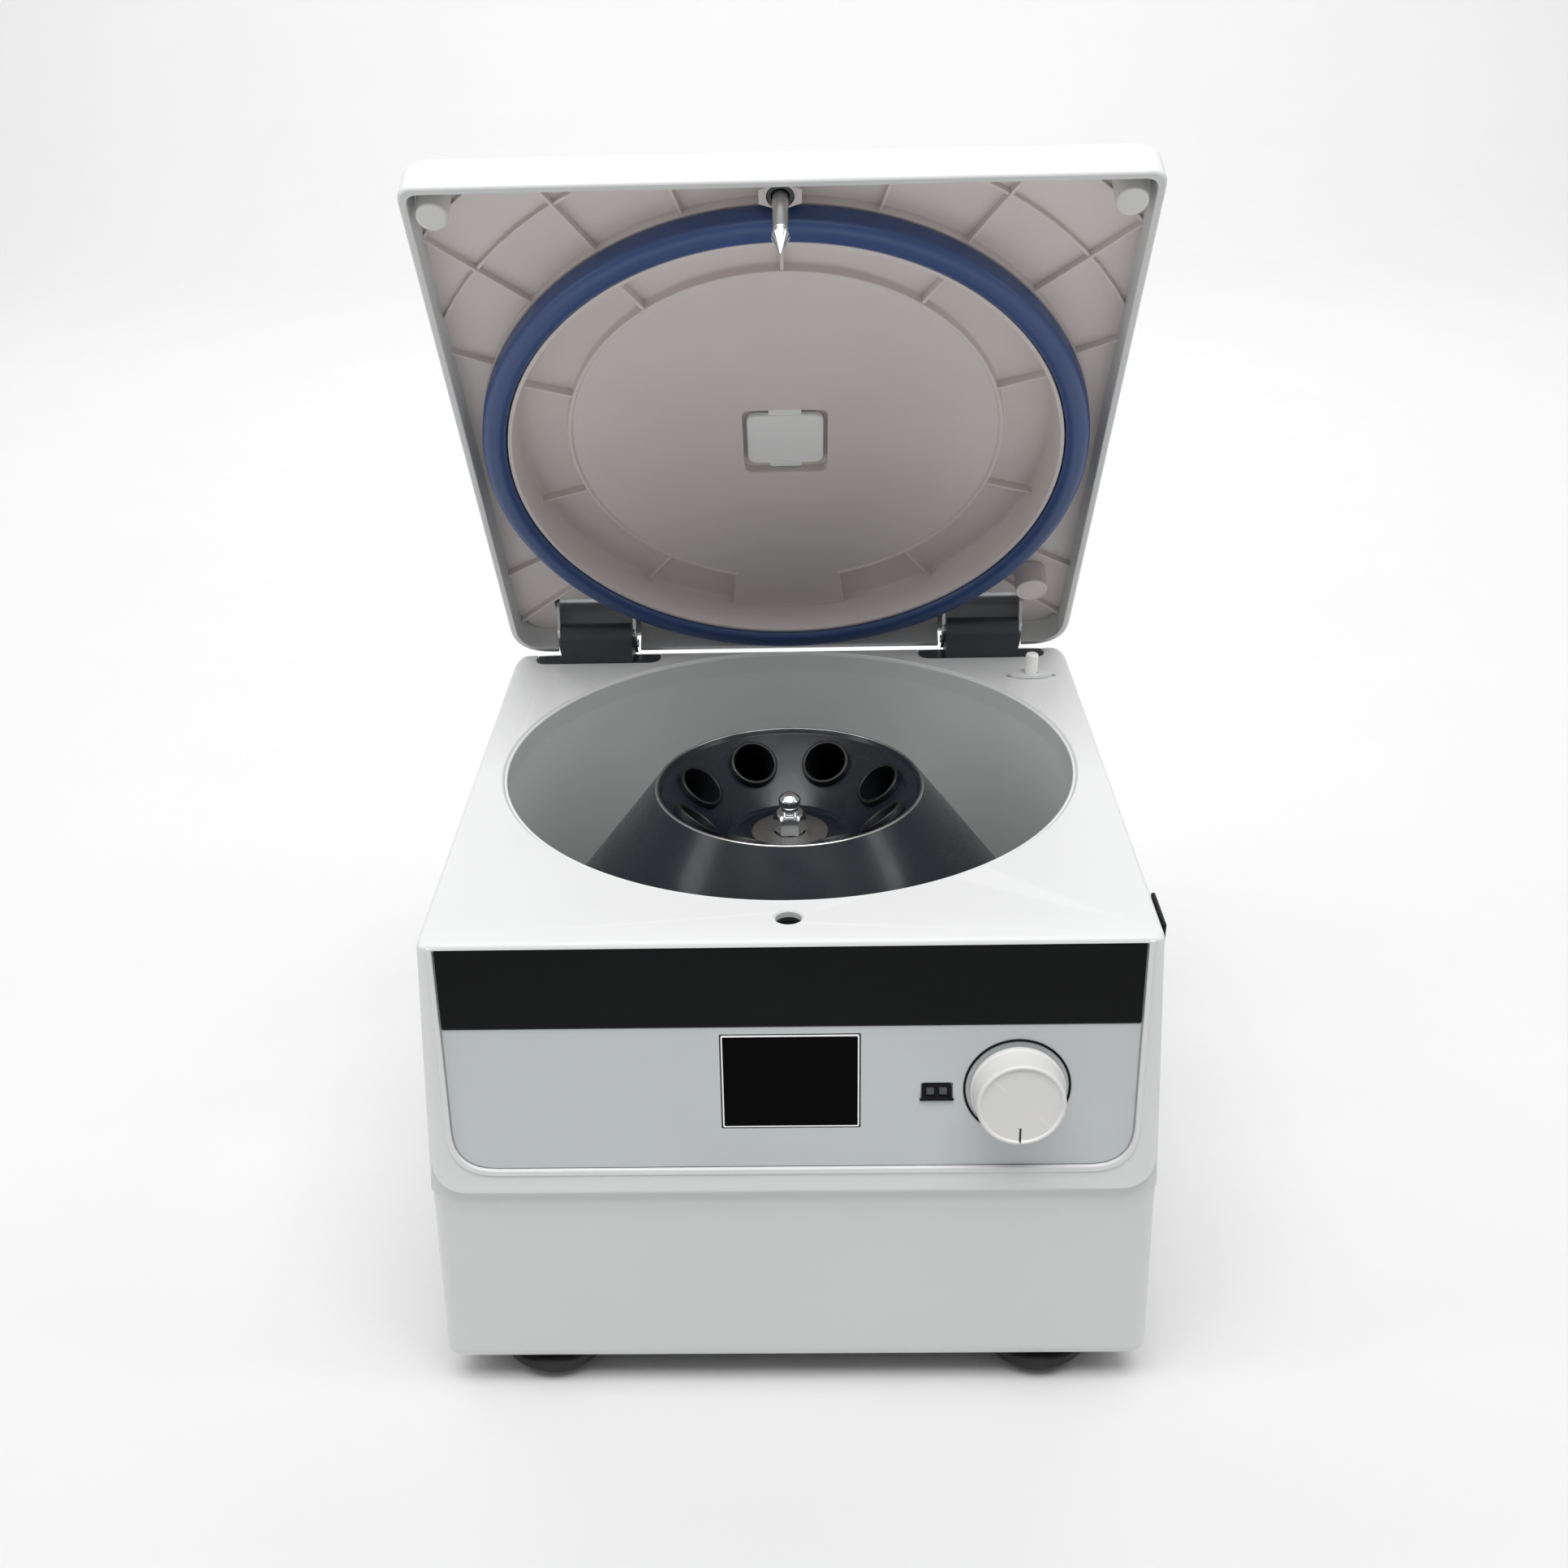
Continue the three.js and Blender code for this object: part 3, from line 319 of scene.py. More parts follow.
def put(piece, name, place, material, body, replaces=(), sharp=40):
    """Names a piece, moves its mesh from its local frame to the row frame and rides it on a body."""
    piece.name = name
    piece.data.name = name
    piece.data.transform(place)
    piece.data.materials.clear()
    piece.data.materials.append(material)
    piece.data.shade_smooth()
    piece.data.set_sharp_from_angle(angle=math.radians(sharp))
    even = piece.modifiers.new("even_normals", "WEIGHTED_NORMAL")
    even.keep_sharp = True
    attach(piece, body)
    if replaces:
        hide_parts(*replaces)
    return piece


UPRIGHT = Matrix.Rotation(math.radians(90), 4, "X")      # turns +Z to -Y: out of the fascia


# ---- Camera, light and floor -----------------------------------------------------------------
def make_camera():
    """The camera stands in front and above, a little right of the middle, and is slightly rolled."""
    yaw, pitch, roll = math.radians(-1.75), math.radians(32.15), math.radians(-1.56)
    forward = Vector((math.sin(yaw) * math.cos(pitch), math.cos(yaw) * math.cos(pitch), -math.sin(pitch)))
    right = Vector((math.cos(yaw), -math.sin(yaw), 0))
    up = right.cross(forward)
    right, up = (right * math.cos(roll) + up * math.sin(roll), up * math.cos(roll) - right * math.sin(roll))
    data = bpy.data.cameras.new("camera")
    data.lens = 39.17
    data.sensor_width = 36
    data.shift_x = 0.0159
    data.shift_y = 0.1169
    camera = bpy.data.objects.new("camera", data)
    axes = Matrix((right, up, -forward)).transposed().to_4x4()
    camera.matrix_world = Matrix.Translation((0.00523, SHIFT_Y - 0.52458, 0.52899)) @ axes
    bpy.context.scene.collection.objects.link(camera)
    bpy.context.scene.camera = camera


def add_light(name, spot, target, size, power):
    data = bpy.data.lights.new(name, "AREA")
    data.shape = "RECTANGLE"
    data.size, data.size_y = size
    data.energy = power
    light = bpy.data.objects.new(name, data)
    light.location = spot
    light.rotation_euler = (Vector(target) - Vector(spot)).to_track_quat("-Z", "Y").to_euler()
    bpy.context.scene.collection.objects.link(light)


def make_stage():
    """Pale floor that curves up into a backdrop, with soft light from above."""
    profile = fillet([(-4.0, 0.0), (3.4, 0.0, 1.2), (3.4, 4.0)], 0, False, 16)
    count = len(profile)
    verts = [(x, y, z) for x in (-6.0, 6.0) for y, z in profile]
    sweep = raw("floor", verts, [(i, i + 1, count + i + 1, count + i) for i in range(count - 1)])
    pale = plastic("pale_floor", (0.74, 0.74, 0.74), 0.8, bump=0.02, variation=0.004, wear=0.0)
    sweep.data.materials.append(pale)
    sweep.data.shade_smooth()
    world = bpy.data.worlds.new("studio")
    world.use_nodes = True
    world.node_tree.nodes["Background"].inputs["Color"].default_value = (1, 1, 1, 1)
    world.node_tree.nodes["Background"].inputs["Strength"].default_value = 0.26
    bpy.context.scene.world = world
    bpy.context.scene.view_settings.view_transform = "Standard"
    add_light("key", (0.0, -0.62, 2.25), (0, 0.05, 0.2), (2.2, 1.2), 44)
    add_light("strip_left", (-1.4, -0.4, 1.0), (0, 0, 0.2), (0.4, 1.4), 4)
    add_light("strip_right", (1.4, -0.3, 1.0), (0, 0, 0.2), (0.3, 1.2), 3)
    add_light("backdrop", (0.0, 1.2, 2.6), (0, 3.4, 0.7), (5.0, 1.0), 90)


# ---- Housing ---------------------------------------------------------------------------------
TOP_HALF, BOTTOM_HALF = 135.5, 144.3
APRON = DECK - 104.0         # lower edge of the fascia apron
FLOOR_Z = 12.0
BOTTOM_R, DECK_R = 9.0, 2.2


def slope(z):
    return -(DECK - z) * math.tan(TILT)


def half_at(z):
    return TOP_HALF + (BOTTOM_HALF - TOP_HALF) * min(1.0, (DECK - z) / (DECK - 21.0))


def housing_levels():
    """Levels from the rounded bottom edge to the rounded deck edge."""
    rows = []
    for step in range(5, -1, -1):
        angle = math.pi / 2 * step / 5
        z = FLOOR_Z + BOTTOM_R * (1 - math.sin(angle))
        pull = BOTTOM_R * (1 - math.cos(angle))
        rows.append((z, half_at(z) - pull, LOW_FRONT + pull, BACK - pull * 0.6))
    rows.sort()
    for z in (60.0, APRON - 1.6):
        rows.append((z, half_at(z), LOW_FRONT, BACK))
    for z, share in ((APRON - 0.9, 0.4), (APRON - 0.2, 0.9), (APRON + 0.8, 1.0)):
        rows.append((z, half_at(z), LOW_FRONT + (slope(APRON) - LOW_FRONT) * share, BACK))
    rows.append((APRON + 8, half_at(APRON + 8), slope(APRON + 8), BACK))
    for step in range(5):
        angle = math.pi / 2 * step / 4
        z = DECK - DECK_R * (1 - math.sin(angle))
        pull = DECK_R * (1 - math.cos(angle))
        rows.append((z, half_at(z) - pull, slope(z) + pull, BACK - pull))
    return rows


def slope_tool(outline, outer, inner):
    """Prism on the fascia: the outline is (x, height along the slope), outer to inner depth."""
    tool = prism("tool", outline, -inner, -outer)
    return turn(tool, UPRIGHT, Matrix.Translation((0, 0, DECK)) @ Matrix.Rotation(-TILT, 4, "X"))


def make_housing():
    shell = loft("housing", housing_levels(), 5, 18)
    wall = 3.0
    hollow = [(11, half_at(12) - 10, LOW_FRONT + 9, BACK - 9),
              (22, half_at(22) - wall, LOW_FRONT + wall, BACK - wall),
              (DECK - 12, half_at(DECK - 12) - wall, wall, BACK - wall),
              (DECK - wall, TOP_HALF - wall, wall + 1, 262)]
    inner = loft("inner", hollow, 3, 15)
    # The apron's lower corners curve up: outside them the front falls back to the lower face.
    reach, corner = 150.0, 24.0
    side = half_at(APRON) - 1.5
    low = (APRON - DECK) / math.cos(TILT)
    for sign in (-1, 1):
        run = 34
        bend = [(sign * side, low + run, 0), (sign * side, low, corner), (sign * (side - run), low, 0)]
        outline = fillet(bend, 0, False, 10)
        outline += [(sign * (side - run), low - 4), (sign * reach, low - 4), (sign * reach, low + run)]
        tool = slope_tool(outline, -12, 40)
        keep = block(-200, 200, LOW_FRONT, 200, 0, 300)
        shell = cut(shell, cut(tool, keep))
    mouth = [(0, -20), (MOUTH_R + 1.5, -20), (MOUTH_R + 1.5, -0.9),
             (MOUTH_R + 2.2, 0), (MOUTH_R + 2.2, 5), (0, 5)]
    latch_hole = [(0, -20), (4.9, -20), (4.9, -0.8), (5.6, 0), (5.6, 5), (0, 5)]
    tools = [
        inner,
        move(lathe("tool", mouth, 160), 0, AXIS_Y, DECK),
        move(lathe("tool", latch_hole, 40), 0, LATCH_Y, DECK),
        slope_tool(rounded(-129.6, 129.6, -FASCIA_H - 0.4, -2.2, 16.3, 0.8), -6, 1.9),
        block(-200, 200, 277, BACK + 5, DECK - 3, DECK + 5),
        block(130, 150, 13.7, 34.3, DECK - 16.8, DECK - 3.3),
        block(63.7, 92.3, BACK - 12, BACK + 5, 40.7, 63.3),
        slope_tool(rounded(-27, 27, -79, -37, 1), 0, 12),
    ]
    for sign in (-1, 1):
        outline = [(sign * x, y) for x, y in rounded(63.6, 125.4, 265.6, 284.2, 6.3)]
        tools.append(prism("tool", outline, DECK - 6.6, DECK + 5))
    for side in (-1, 1):
        tools.append(move(bore(1.3, -2, 3, 20), PLUNGER_X + side * GUIDE_HOLE_X, PLUNGER_Y, DECK))
    tools.append(move(bore(4.2, -20, 5, 32), PLUNGER_X, PLUNGER_Y, DECK))
    shell = soften(cut(shell, *tools), 0.6, 2)
    put(shell, "housing_shell", HOUSING, WHITE, "housing", ["main_housing"], 30)


def make_base():
    half = half_at(12) - 11
    plate = prism("plate", rounded(-half, half, 1, 272, 8), 12.2, 14.6)
    put(soften(plate, 0.5, 2), "bottom_cover", HOUSING, METAL, "housing", ["base_plate"])
    profile = fillet([(0, 0), (16.5, 0, 4), (22.3, 6.5, 5), (22.8, 11.6, 0.6), (0, 11.6)], 1, False, 6)
    for row, y in (("front", 12), ("rear", 258)):
        for side, x in (("left", -102), ("right", 102)):
            foot = move(lathe("foot", profile, 64), x, y, 0)
            name = f"rubber_foot_{row}_{side}"
            put(foot, name, HOUSING, RUBBER, "housing", [f"foot_{row}_{side}"])


def make_chamber():
    floor = -101.0
    outside = [(17, floor - 1.4), (107, floor - 1.4, 12), (118.5, floor + 10, 6),
               (123.4, -9.5), (123.4, -0.5, 0.6)]
    inside = [(122.0, -0.5, 0.8), (121.9, -9.5), (117, floor + 11.5, 8), (105, floor, 10), (17, floor)]
    bowl = lathe("bowl", fillet(outside + inside, 0.2, True, 6), 160, True)
    put(bowl, "rotor_chamber", ROTOR, BOWL, "housing", ["chamber_bowl"])
    seal = fillet([(8.1, floor - 2.9), (16.5, floor - 2.9), (16.5, floor + 1.9, 1),
                   (8.6, floor + 4.4), (8.1, floor + 4)], 0.2, True)
    put(lathe("seal", seal, 48, True), "shaft_lip_seal", ROTOR, RUBBER, "housing", ["shaft_seal"])


# ---- Rotor -----------------------------------------------------------------------------------
RIM_R, RIM_DEPTH = 58.8, 11.7
DISH_R, FLOOR_R, FLOOR_DEPTH = 56.8, 26.8, 36.8
DISH = math.atan2(FLOOR_DEPTH - RIM_DEPTH - 1, DISH_R - FLOOR_R)
PITCH_R = 44.5
TUBE_R = 8.85
MOUTH_DEPTH = RIM_DEPTH + 1 + (DISH_R - PITCH_R) * math.tan(DISH)


def socket_matrix(index):
    spin = Matrix.Rotation(math.radians(22.5 + 45 * index), 4, "Z")
    return spin @ Matrix.Translation((PITCH_R, 0, -MOUTH_DEPTH)) @ Matrix.Rotation(-DISH, 4, "Y")


def make_rotor():
    profile = fillet([
        (7, -76.5), (17, -76.5, 1), (22, -43), (28.5, -42, 2), (53, -19.5, 2),
        (107.5, -82.5, 2), (107.5, -93.6),
        (112.3, -93.6, 1), (112.3, -81.5, 5), (RIM_R, -RIM_DEPTH, 0.7), (DISH_R + 0.3, -RIM_DEPTH, 0.5),
        (DISH_R - 0.8, -RIM_DEPTH - 1.6, 1), (FLOOR_R + 0.6, -FLOOR_DEPTH + 0.5, 1.2),
        (FLOOR_R - 1.2, -FLOOR_DEPTH + 0.2, 0.4),
        (FLOOR_R - 2, -FLOOR_DEPTH, 0.3), (7, -FLOOR_DEPTH)], 0.5, True, 4)
    rotor = lathe("rotor", profile, 192, True)
    socket = [(0, -58), (TUBE_R + 1.3, -58), (TUBE_R + 1.3, 0.05), (TUBE_R + 2.3, 0.1),
              (TUBE_R + 2.3, 14), (0, 14)]
    for index in range(8):
        rotor = cut(rotor, turn(lathe("socket", socket, 40), socket_matrix(index)))
    put(rotor, "angle_rotor", ROTOR, BLACK, "rotor", ["rotor_body"], 28)
    sleeve = fillet([
        (0, -57), (5, -57, 2), (TUBE_R + 1.1, -50, 4), (TUBE_R + 1.1, 0.3), (TUBE_R + 2.1, 0.3, 0.3),
        (TUBE_R + 2.1, 3.6, 0.9), (TUBE_R + 0.4, 3.6, 0.8), (TUBE_R + 0.2, 0), (TUBE_R + 0.2, -49, 4),
        (4.5, -55.5, 2), (0, -55.5)], 0.1, False, 5)
    for index in range(8):
        tube = turn(lathe("sleeve", sleeve, 56), socket_matrix(index))
        name = f"rotor_tube_{index + 1}"
        put(tube, name, ROTOR, SOCKET, "rotor", [f"tube_sleeve_{index + 1}"])
    # Painted highlight: a thin bright steel band laid along the rotor rim stands in for the light caught on
    # the rim edge.
    edge = fillet([(DISH_R + 0.7, -RIM_DEPTH - 0.3), (RIM_R + 0.1, -RIM_DEPTH - 0.5),
                   (RIM_R + 0.1, -RIM_DEPTH), (RIM_R - 0.2, -RIM_DEPTH + 0.25),
                   (DISH_R + 1.1, -RIM_DEPTH + 0.25)], 0.1, True, 3)
    put(lathe("edge", edge, 192, True), "rotor_rim_highlight_band", ROTOR, STEEL, "rotor")
    washer = fillet([(7, -36.5), (17.2, -36.5), (17.2, -34.8, 0.5), (7, -34.8)], 0.2, True)
    put(lathe("washer", washer, 72, True), "hub_disc", ROTOR, STEEL, "rotor", ["rotor_washer"])
    make_nut()


def make_nut():
    """Domed hexagon nut: six flats, a narrow waist and a domed cap."""
    turns = [math.radians(60 * i) for i in range(6)]
    corners = [(7.4 * math.cos(a), 7.4 * math.sin(a)) for a in turns]
    body = prism("nut", corners, -34.5, -25.6)
    crown = lathe("crown", [(0, -36), (5.6, -36), (7.7, -34), (7.7, -28), (5.2, -24.8), (0, -24.8)], 48)
    body = combine(body, [crown], "INTERSECT")
    dome = fillet([(0, -30), (3.9, -30), (3.9, -22.8), (4.9, -22.2, 0.5), (4.9, -19.2, 1.8),
                   (2.6, -16.8, 1.8), (0, -16.6)], 0.3)
    waist = lathe("waist", dome, 40)
    nut = join(body, waist)
    put(soften(nut, 0.35, 2), "rotor_lock_nut", ROTOR, CHROME, "rotor", ["rotor_nut"], 30)


# ---- Fascia ----------------------------------------------------------------------------------
SCREEN_W, SCREEN_H, SCREEN_MID = 51.4, 38.6, -57.6
KNOB_X, KNOB_Z = 84.6, -60.8
FACE = 1.0                   # the fascia film lies this far below the housing surface


def flat_piece(outline, outer, inner, width=0.25):
    return turn(soften(prism("plate", outline, -inner, -outer), width, 3), UPRIGHT)


def on_face(piece, x=0, z=0, depth=0):
    """Stands a piece turned about Z out of the fascia at (x, z)."""
    return move(turn(piece, UPRIGHT), x, depth, z)


def screen_outline(inset, radius):
    w, h = SCREEN_W / 2 - inset, SCREEN_H / 2 - inset
    return rounded(-w, w, SCREEN_MID - h, SCREEN_MID + h, radius)


def make_fascia():
    outline = rounded(-129, 129, -FASCIA_H, -34.7, 16, 0.4, 10)
    panel = prism("panel", outline, -1.55, -FACE)
    half_w, half_h = SCREEN_W / 2 + 0.6, SCREEN_H / 2 + 0.6
    hole = prism("tool", rounded(-half_w, half_w, SCREEN_MID - half_h, SCREEN_MID + half_h, 0.6), -6, 6)
    stem_hole = move(bore(4, -6, 6, 32), KNOB_X, KNOB_Z, 0)
    port = prism("tool", rounded(48.7, 60.7, -66, -58.6, 0.6), -6, 6)
    panel = turn(soften(cut(panel, hole, stem_hole, port), 0.15, 2), UPRIGHT)
    put(panel, "fascia_film", FASCIA, PANEL, "housing", ["fascia_panel"])
    band = flat_piece(rounded(-129, 129, -34.3, -2.5, 0.8), FACE - 0.5, 1.55, 0.3)
    put(band, "gloss_band", FASCIA, GLOSS, "housing", ["fascia_band"])
    glass = flat_piece(screen_outline(0.5, 0.5), FACE - 0.05, 1.7, 0.15)
    put(glass, "display_glass", FASCIA, SCREEN, "housing", ["display_window"])
    rim = prism("rim", screen_outline(0, 0.7), -1.7, -FACE + 0.1)
    inner = prism("tool", screen_outline(0.55, 0.5), -6, 6)
    rim = turn(soften(cut(rim, inner), 0.1, 2), UPRIGHT)
    put(rim, "display_border", FASCIA, CAP, "housing")
    lip = prism("lip", rounded(-131.6, 131.6, -FASCIA_H - 2.9, -1.2, 18.4, 0.9, 12), -0.5, 0.55)
    inside = prism("tool", rounded(-129.5, 129.5, -FASCIA_H - 0.35, 5, 16.3, 0.8, 12), -6, 6)
    lip = turn(soften(cut(lip, inside), 0.5, 3), UPRIGHT)
    put(lip, "fascia_lip", FASCIA, WHITE, "housing")
    make_indicator()
    make_knob()


def make_indicator():
    x, z = 54.7, -62.3
    body = prism("port", rounded(x - 5.6, x + 5.6, z - 3.3, z + 3.3, 0.3, 1.6), -7, -FACE + 0.5)
    foot = prism("lip", rounded(x - 6.4, x + 6.4, z - 3.6, z - 2.7, 0.3), -FACE + 0.02, -FACE + 0.95)
    middles = {"left": x - 2.4, "right": x + 2.4}
    wells = []
    for middle in middles.values():
        wells.append(prism("tool", rounded(middle - 1.6, middle + 1.6, z - 1.6, z + 1.9, 0.3), -1.8, 3))
    body = turn(soften(cut(join(body, foot), *wells), 0.2, 2), UPRIGHT)
    put(body, "indicator_body", FASCIA, GLOSS, "housing", ["indicator_insert"])
    for side, middle in middles.items():
        tile = prism("tile", rounded(middle - 1.5, middle + 1.5, z - 1.5, z + 1.8, 0.2), -1.75, -1.2)
        tile = turn(soften(tile, 0.12, 2), UPRIGHT)
        put(tile, f"indicator_tile_{side}", FASCIA, METAL, "housing")


def make_knob():
    section = fillet([(19.2, -0.3), (20.1, -0.3), (20.1, 0.5), (19.2, 0.5)], 0.25, True, 3)
    ring = on_face(lathe("ring", section, 128, True), KNOB_X, KNOB_Z, FACE)
    put(ring, "knob_shadow_ring", FASCIA, GLOSS, "housing", ["knob_ring"])
    profile = fillet([(0, 0.3), (17.6, 0.3, 0.3), (17.75, 2.4, 0.8), (17.3, 3.0, 0.5), (16.5, 13.0, 0.9),
                      (15.9, 13.95, 0.5), (15.1, 13.9, 0.4), (14.8, 13.2, 0.4), (0, 13.1)], 0.3, False, 5)
    knob = lathe("knob", profile, 160)
    groove = block(-0.42, 0.42, -16.2, -9.6, 12.8, 16)
    knob = cut(knob, groove)
    on_face(knob, KNOB_X, KNOB_Z)
    put(knob, "rotary_knob", FASCIA, KNOB, "knob", ["control_knob"], 30)
    ink = prism("ink", rounded(-0.38, 0.38, -15.3, -9.7, 0.3), 12.7, 13.15)
    put(on_face(ink, KNOB_X, KNOB_Z), "knob_pointer", FASCIA, INK, "knob")


# ---- Side switch, plunger, inlet, latch --------------------------------------------------------
def make_switch():
    x, y, z = half_at(200.5), 24.0, 200.5
    frame_plate = block(x + 0.3, x + 2.0, y - 12, y + 12, z - 8.5, z + 7.5, "bezel")
    body = block(x - 14, x + 1, y - 10, y + 10, z - 7, z + 5.9, "body")
    well = block(x - 8, x + 9, y - 8.6, y + 8.6, z - 5.6, z + 4.6)
    bezel = soften(cut(join(frame_plate, body), well), 0.6, 3)
    put(bezel, "switch_bezel", HOUSING, GLOSS, "housing", ["switch_frame"])
    profile = [(-7.3, -3.0), (7.3, -3.0), (7.3, 2.7, 1.2), (3, 1.5, 9), (-3, 2.2, 9), (-7.3, 4.3, 1.2)]
    paddle = prism("paddle", fillet(profile, 0.4, True, 5), -4.7, 4.7)
    axes = Matrix(((0, 1, 0, x - 1.2), (1, 0, 0, y), (0, 0, -1, z - 0.5), (0, 0, 0, 1)))
    paddle = turn(soften(paddle, 0.4, 3), axes)
    put(paddle, "rocker_paddle", HOUSING, GLOSS, "rocker", ["power_rocker"])


def make_plunger():
    angles = [2 * math.pi * i / 56 for i in range(56)]
    oval = [(10 * math.cos(a), 4.6 * math.sin(a)) for a in angles]
    collar = join(prism("guide", oval, 0.2, 1.75), bore(3.5, -14, 1, 32))
    collar = move(soften(cut(collar, bore(3.25, -20, 5, 32)), 0.6, 3), PLUNGER_X, PLUNGER_Y, DECK)
    put(collar, "plunger_collar", HOUSING, WHITE, "housing", ["plunger_guide"])
    rod = lathe("rod", fillet([(0, -12), (3, -12, 0.3), (3, 11.4, 2.2), (0, 11.4)], 0.5, False, 7), 48)
    move(rod, PLUNGER_X, PLUNGER_Y, DECK)
    put(rod, "sensor_plunger_pin", HOUSING, CAP, "plunger", ["lid_sensor_plunger"])


def make_rear():
    x, z = 78.0, 52.0
    flange = block(x - 16, x + 16, BACK + 0.3, BACK + 2, z - 13, z + 13, "flange")
    body = block(x - 13.9, x + 13.9, BACK - 20, BACK + 1, z - 10.9, z + 10.9, "body")
    keyed = fillet([(x - 12, z - 8), (x + 12, z - 8), (x + 12, z + 4), (x + 8, z + 8), (x - 8, z + 8),
                    (x - 12, z + 4)], 1, True)
    socket = prism("tool", keyed, -BACK - 6, -BACK + 17)
    inlet = soften(cut(join(flange, body), turn(socket, UPRIGHT)), 0.5, 3)
    put(inlet, "inlet_socket", HOUSING, GLOSS, "housing", ["mains_inlet"])
    for name, dx, dz in (("live", -7, -2), ("earth", 0, 3), ("neutral", 7, -2)):
        pin = block(x + dx - 1, x + dx + 1, BACK - 16.7, BACK - 3, z + dz - 2, z + dz + 2, "pin")
        soften(pin, 0.4, 3)
        put(pin, f"socket_pin_{name}", HOUSING, CHROME, "housing", [f"inlet_pin_{name}"])


# ---- Hinges ----------------------------------------------------------------------------------
def make_hinges():
    for side, sign in (("left", -1), ("right", 1)):
        tray_outline = [(sign * px, py) for px, py in rounded(64, 125, 266, 283.8, 6)]
        tray = soften(prism("tray", tray_outline, DECK - 6.2, DECK - 0.1), 0.4, 2)
        tray = cut(tray, block(-200, 200, 276.8, 290, DECK - 3.2, DECK + 5))
        front = [(266, DECK - 4, 0), (266, DECK + 11.5, 4), (269.8, DECK + 17.6, 3), (273, DECK + 18.4, 1)]
        rear = [(274.2, DECK + 10, 2), (HINGE_Y, HINGE_Z + 4.2, 3), (HINGE_Y + 3.8, HINGE_Z, 2),
                (HINGE_Y + 3.8, DECK - 4, 0)]
        profile = fillet(front + rear, 1, True, 6)
        xs = sorted((sign * 77, sign * 112))
        upright = prism("upright", profile, xs[0], xs[1], "X")
        bracket = soften(join(upright, tray), 0.7, 3, 40)
        name = f"hinge_block_{side}"
        put(bracket, name, HOUSING, SLATE, "housing", [f"hinge_bracket_{side}"], 35)
        make_hinge_strap(side, sign)


def make_hinge_strap(side, sign):
    """Bright steel ears on both sides of a block, joined by a web under the lid, and their pin."""
    outline = fillet([(4, -3.6, 3), (-3, -3.8, 3), (-12, -1, 3), (-20, 8, 3), (-20, 18.6, 0.6),
                      (-4, 18.6, 1), (2, 8, 4), (4, 2, 3)], 1, True, 5)
    parts = []
    for x0, x1 in ((75.1, 76.6), (112.4, 113.9)):
        parts.append(prism("ear", outline, *sorted((sign * x0, sign * x1)), "X"))
    xs = sorted((sign * 75.1, sign * 113.9))
    parts.append(block(xs[0], xs[1], -20, -4, 17.4, 18.8, "web"))
    strap = soften(join(parts[0], *parts[1:]), 0.3, 2)
    put(strap, f"hinge_strap_{side}", LID, CHROME, "lid", [f"lid_hinge_{side}"], 35)
    section = fillet([(0, 74.7), (1.95, 74.7, 0.4), (1.95, 114.3, 0.4), (0, 114.3)], 0.3, False, 4)
    pin = lathe("pin", section, 32)
    turn(pin, Matrix.Rotation(sign * math.radians(90), 4, "Y"))
    put(pin, f"hinge_axle_{side}", LID, CHROME, "lid", [f"hinge_pin_{side}"])


# ---- Lid -------------------------------------------------------------------------------------
LID_HALF, LID_FRONT, LID_BACK = 137.0, 273.0, 4.5
RIM, SIDE_TOP, LID_TOP = -1.5, 9.0, 28.0
FLOOR, TROUGH, DISC_FACE, DISC_R = 11.0, 15.5, 12.0, 93.5
WALL_R, GASKET_IN, GASKET_OUT = 116.5, 118.6, 129.0
PAD_X, PAD_S = 125.7, 260.5
SENSOR_S = HINGE_Y - PLUNGER_Y
PIN_TIP = -25.6


def lid_level(z, inset):
    return (z, LID_HALF - inset, -LID_FRONT + inset, LID_BACK - inset)


def hinge_notches(front, top):
    return [block(s * 94.5 - 20.5, s * 94.5 + 20.5, front, 12, -8, top) for s in (-1, 1)]


def ringed(piece):
    return move(piece, 0, -RING_S, 0)


def tube_ring(inner, outer, low, high, sides=144):
    return ringed(lathe("ring", [(inner, low), (outer, low), (outer, high), (inner, high)], sides, True))


def make_lid_cover():
    levels = [lid_level(RIM, 0.9), lid_level(RIM + 0.4, 0.3), lid_level(RIM + 1.4, 0.0),
              lid_level(SIDE_TOP - 4, 0.3)]
    for step in range(9):
        angle = math.pi / 2 * step / 8
        levels.append(lid_level(SIDE_TOP + 15.0 * math.sin(angle), 0.6 + 17.5 * (1 - math.cos(angle))))
    levels.append(lid_level(LID_TOP - 1.6, 40))
    levels.append(lid_level(LID_TOP - 0.4, 80))
    cover = loft("cover", levels, 7, 18)
    hollow = [lid_level(RIM - 3, 3.0), lid_level(SIDE_TOP + 4, 3.6), lid_level(LID_TOP - 8, 8),
              lid_level(LID_TOP - 5.5, 18)]
    inner = loft("inner", hollow, 5, 15)
    hole = ringed(block(-14, 14, -14, 14, 8, 34))
    cover = cut(cover, inner, hole, *hinge_notches(-3.5, 7.5))
    put(soften(cover, 0.5, 3, 40), "lid_outer_cover", LID, WHITE, "lid", ["lid_cover"], 32)


def rib(inner, outer, low, high, degrees, width=1.5):
    """Upright rib on a radius of the ring; degrees run from +X towards the lid's front."""
    piece = soften(block(inner, outer, -width / 2, width / 2, low, high, "rib"), 0.4, 2)
    return ringed(turn(piece, Matrix.Rotation(math.radians(-degrees), 4, "Z")))


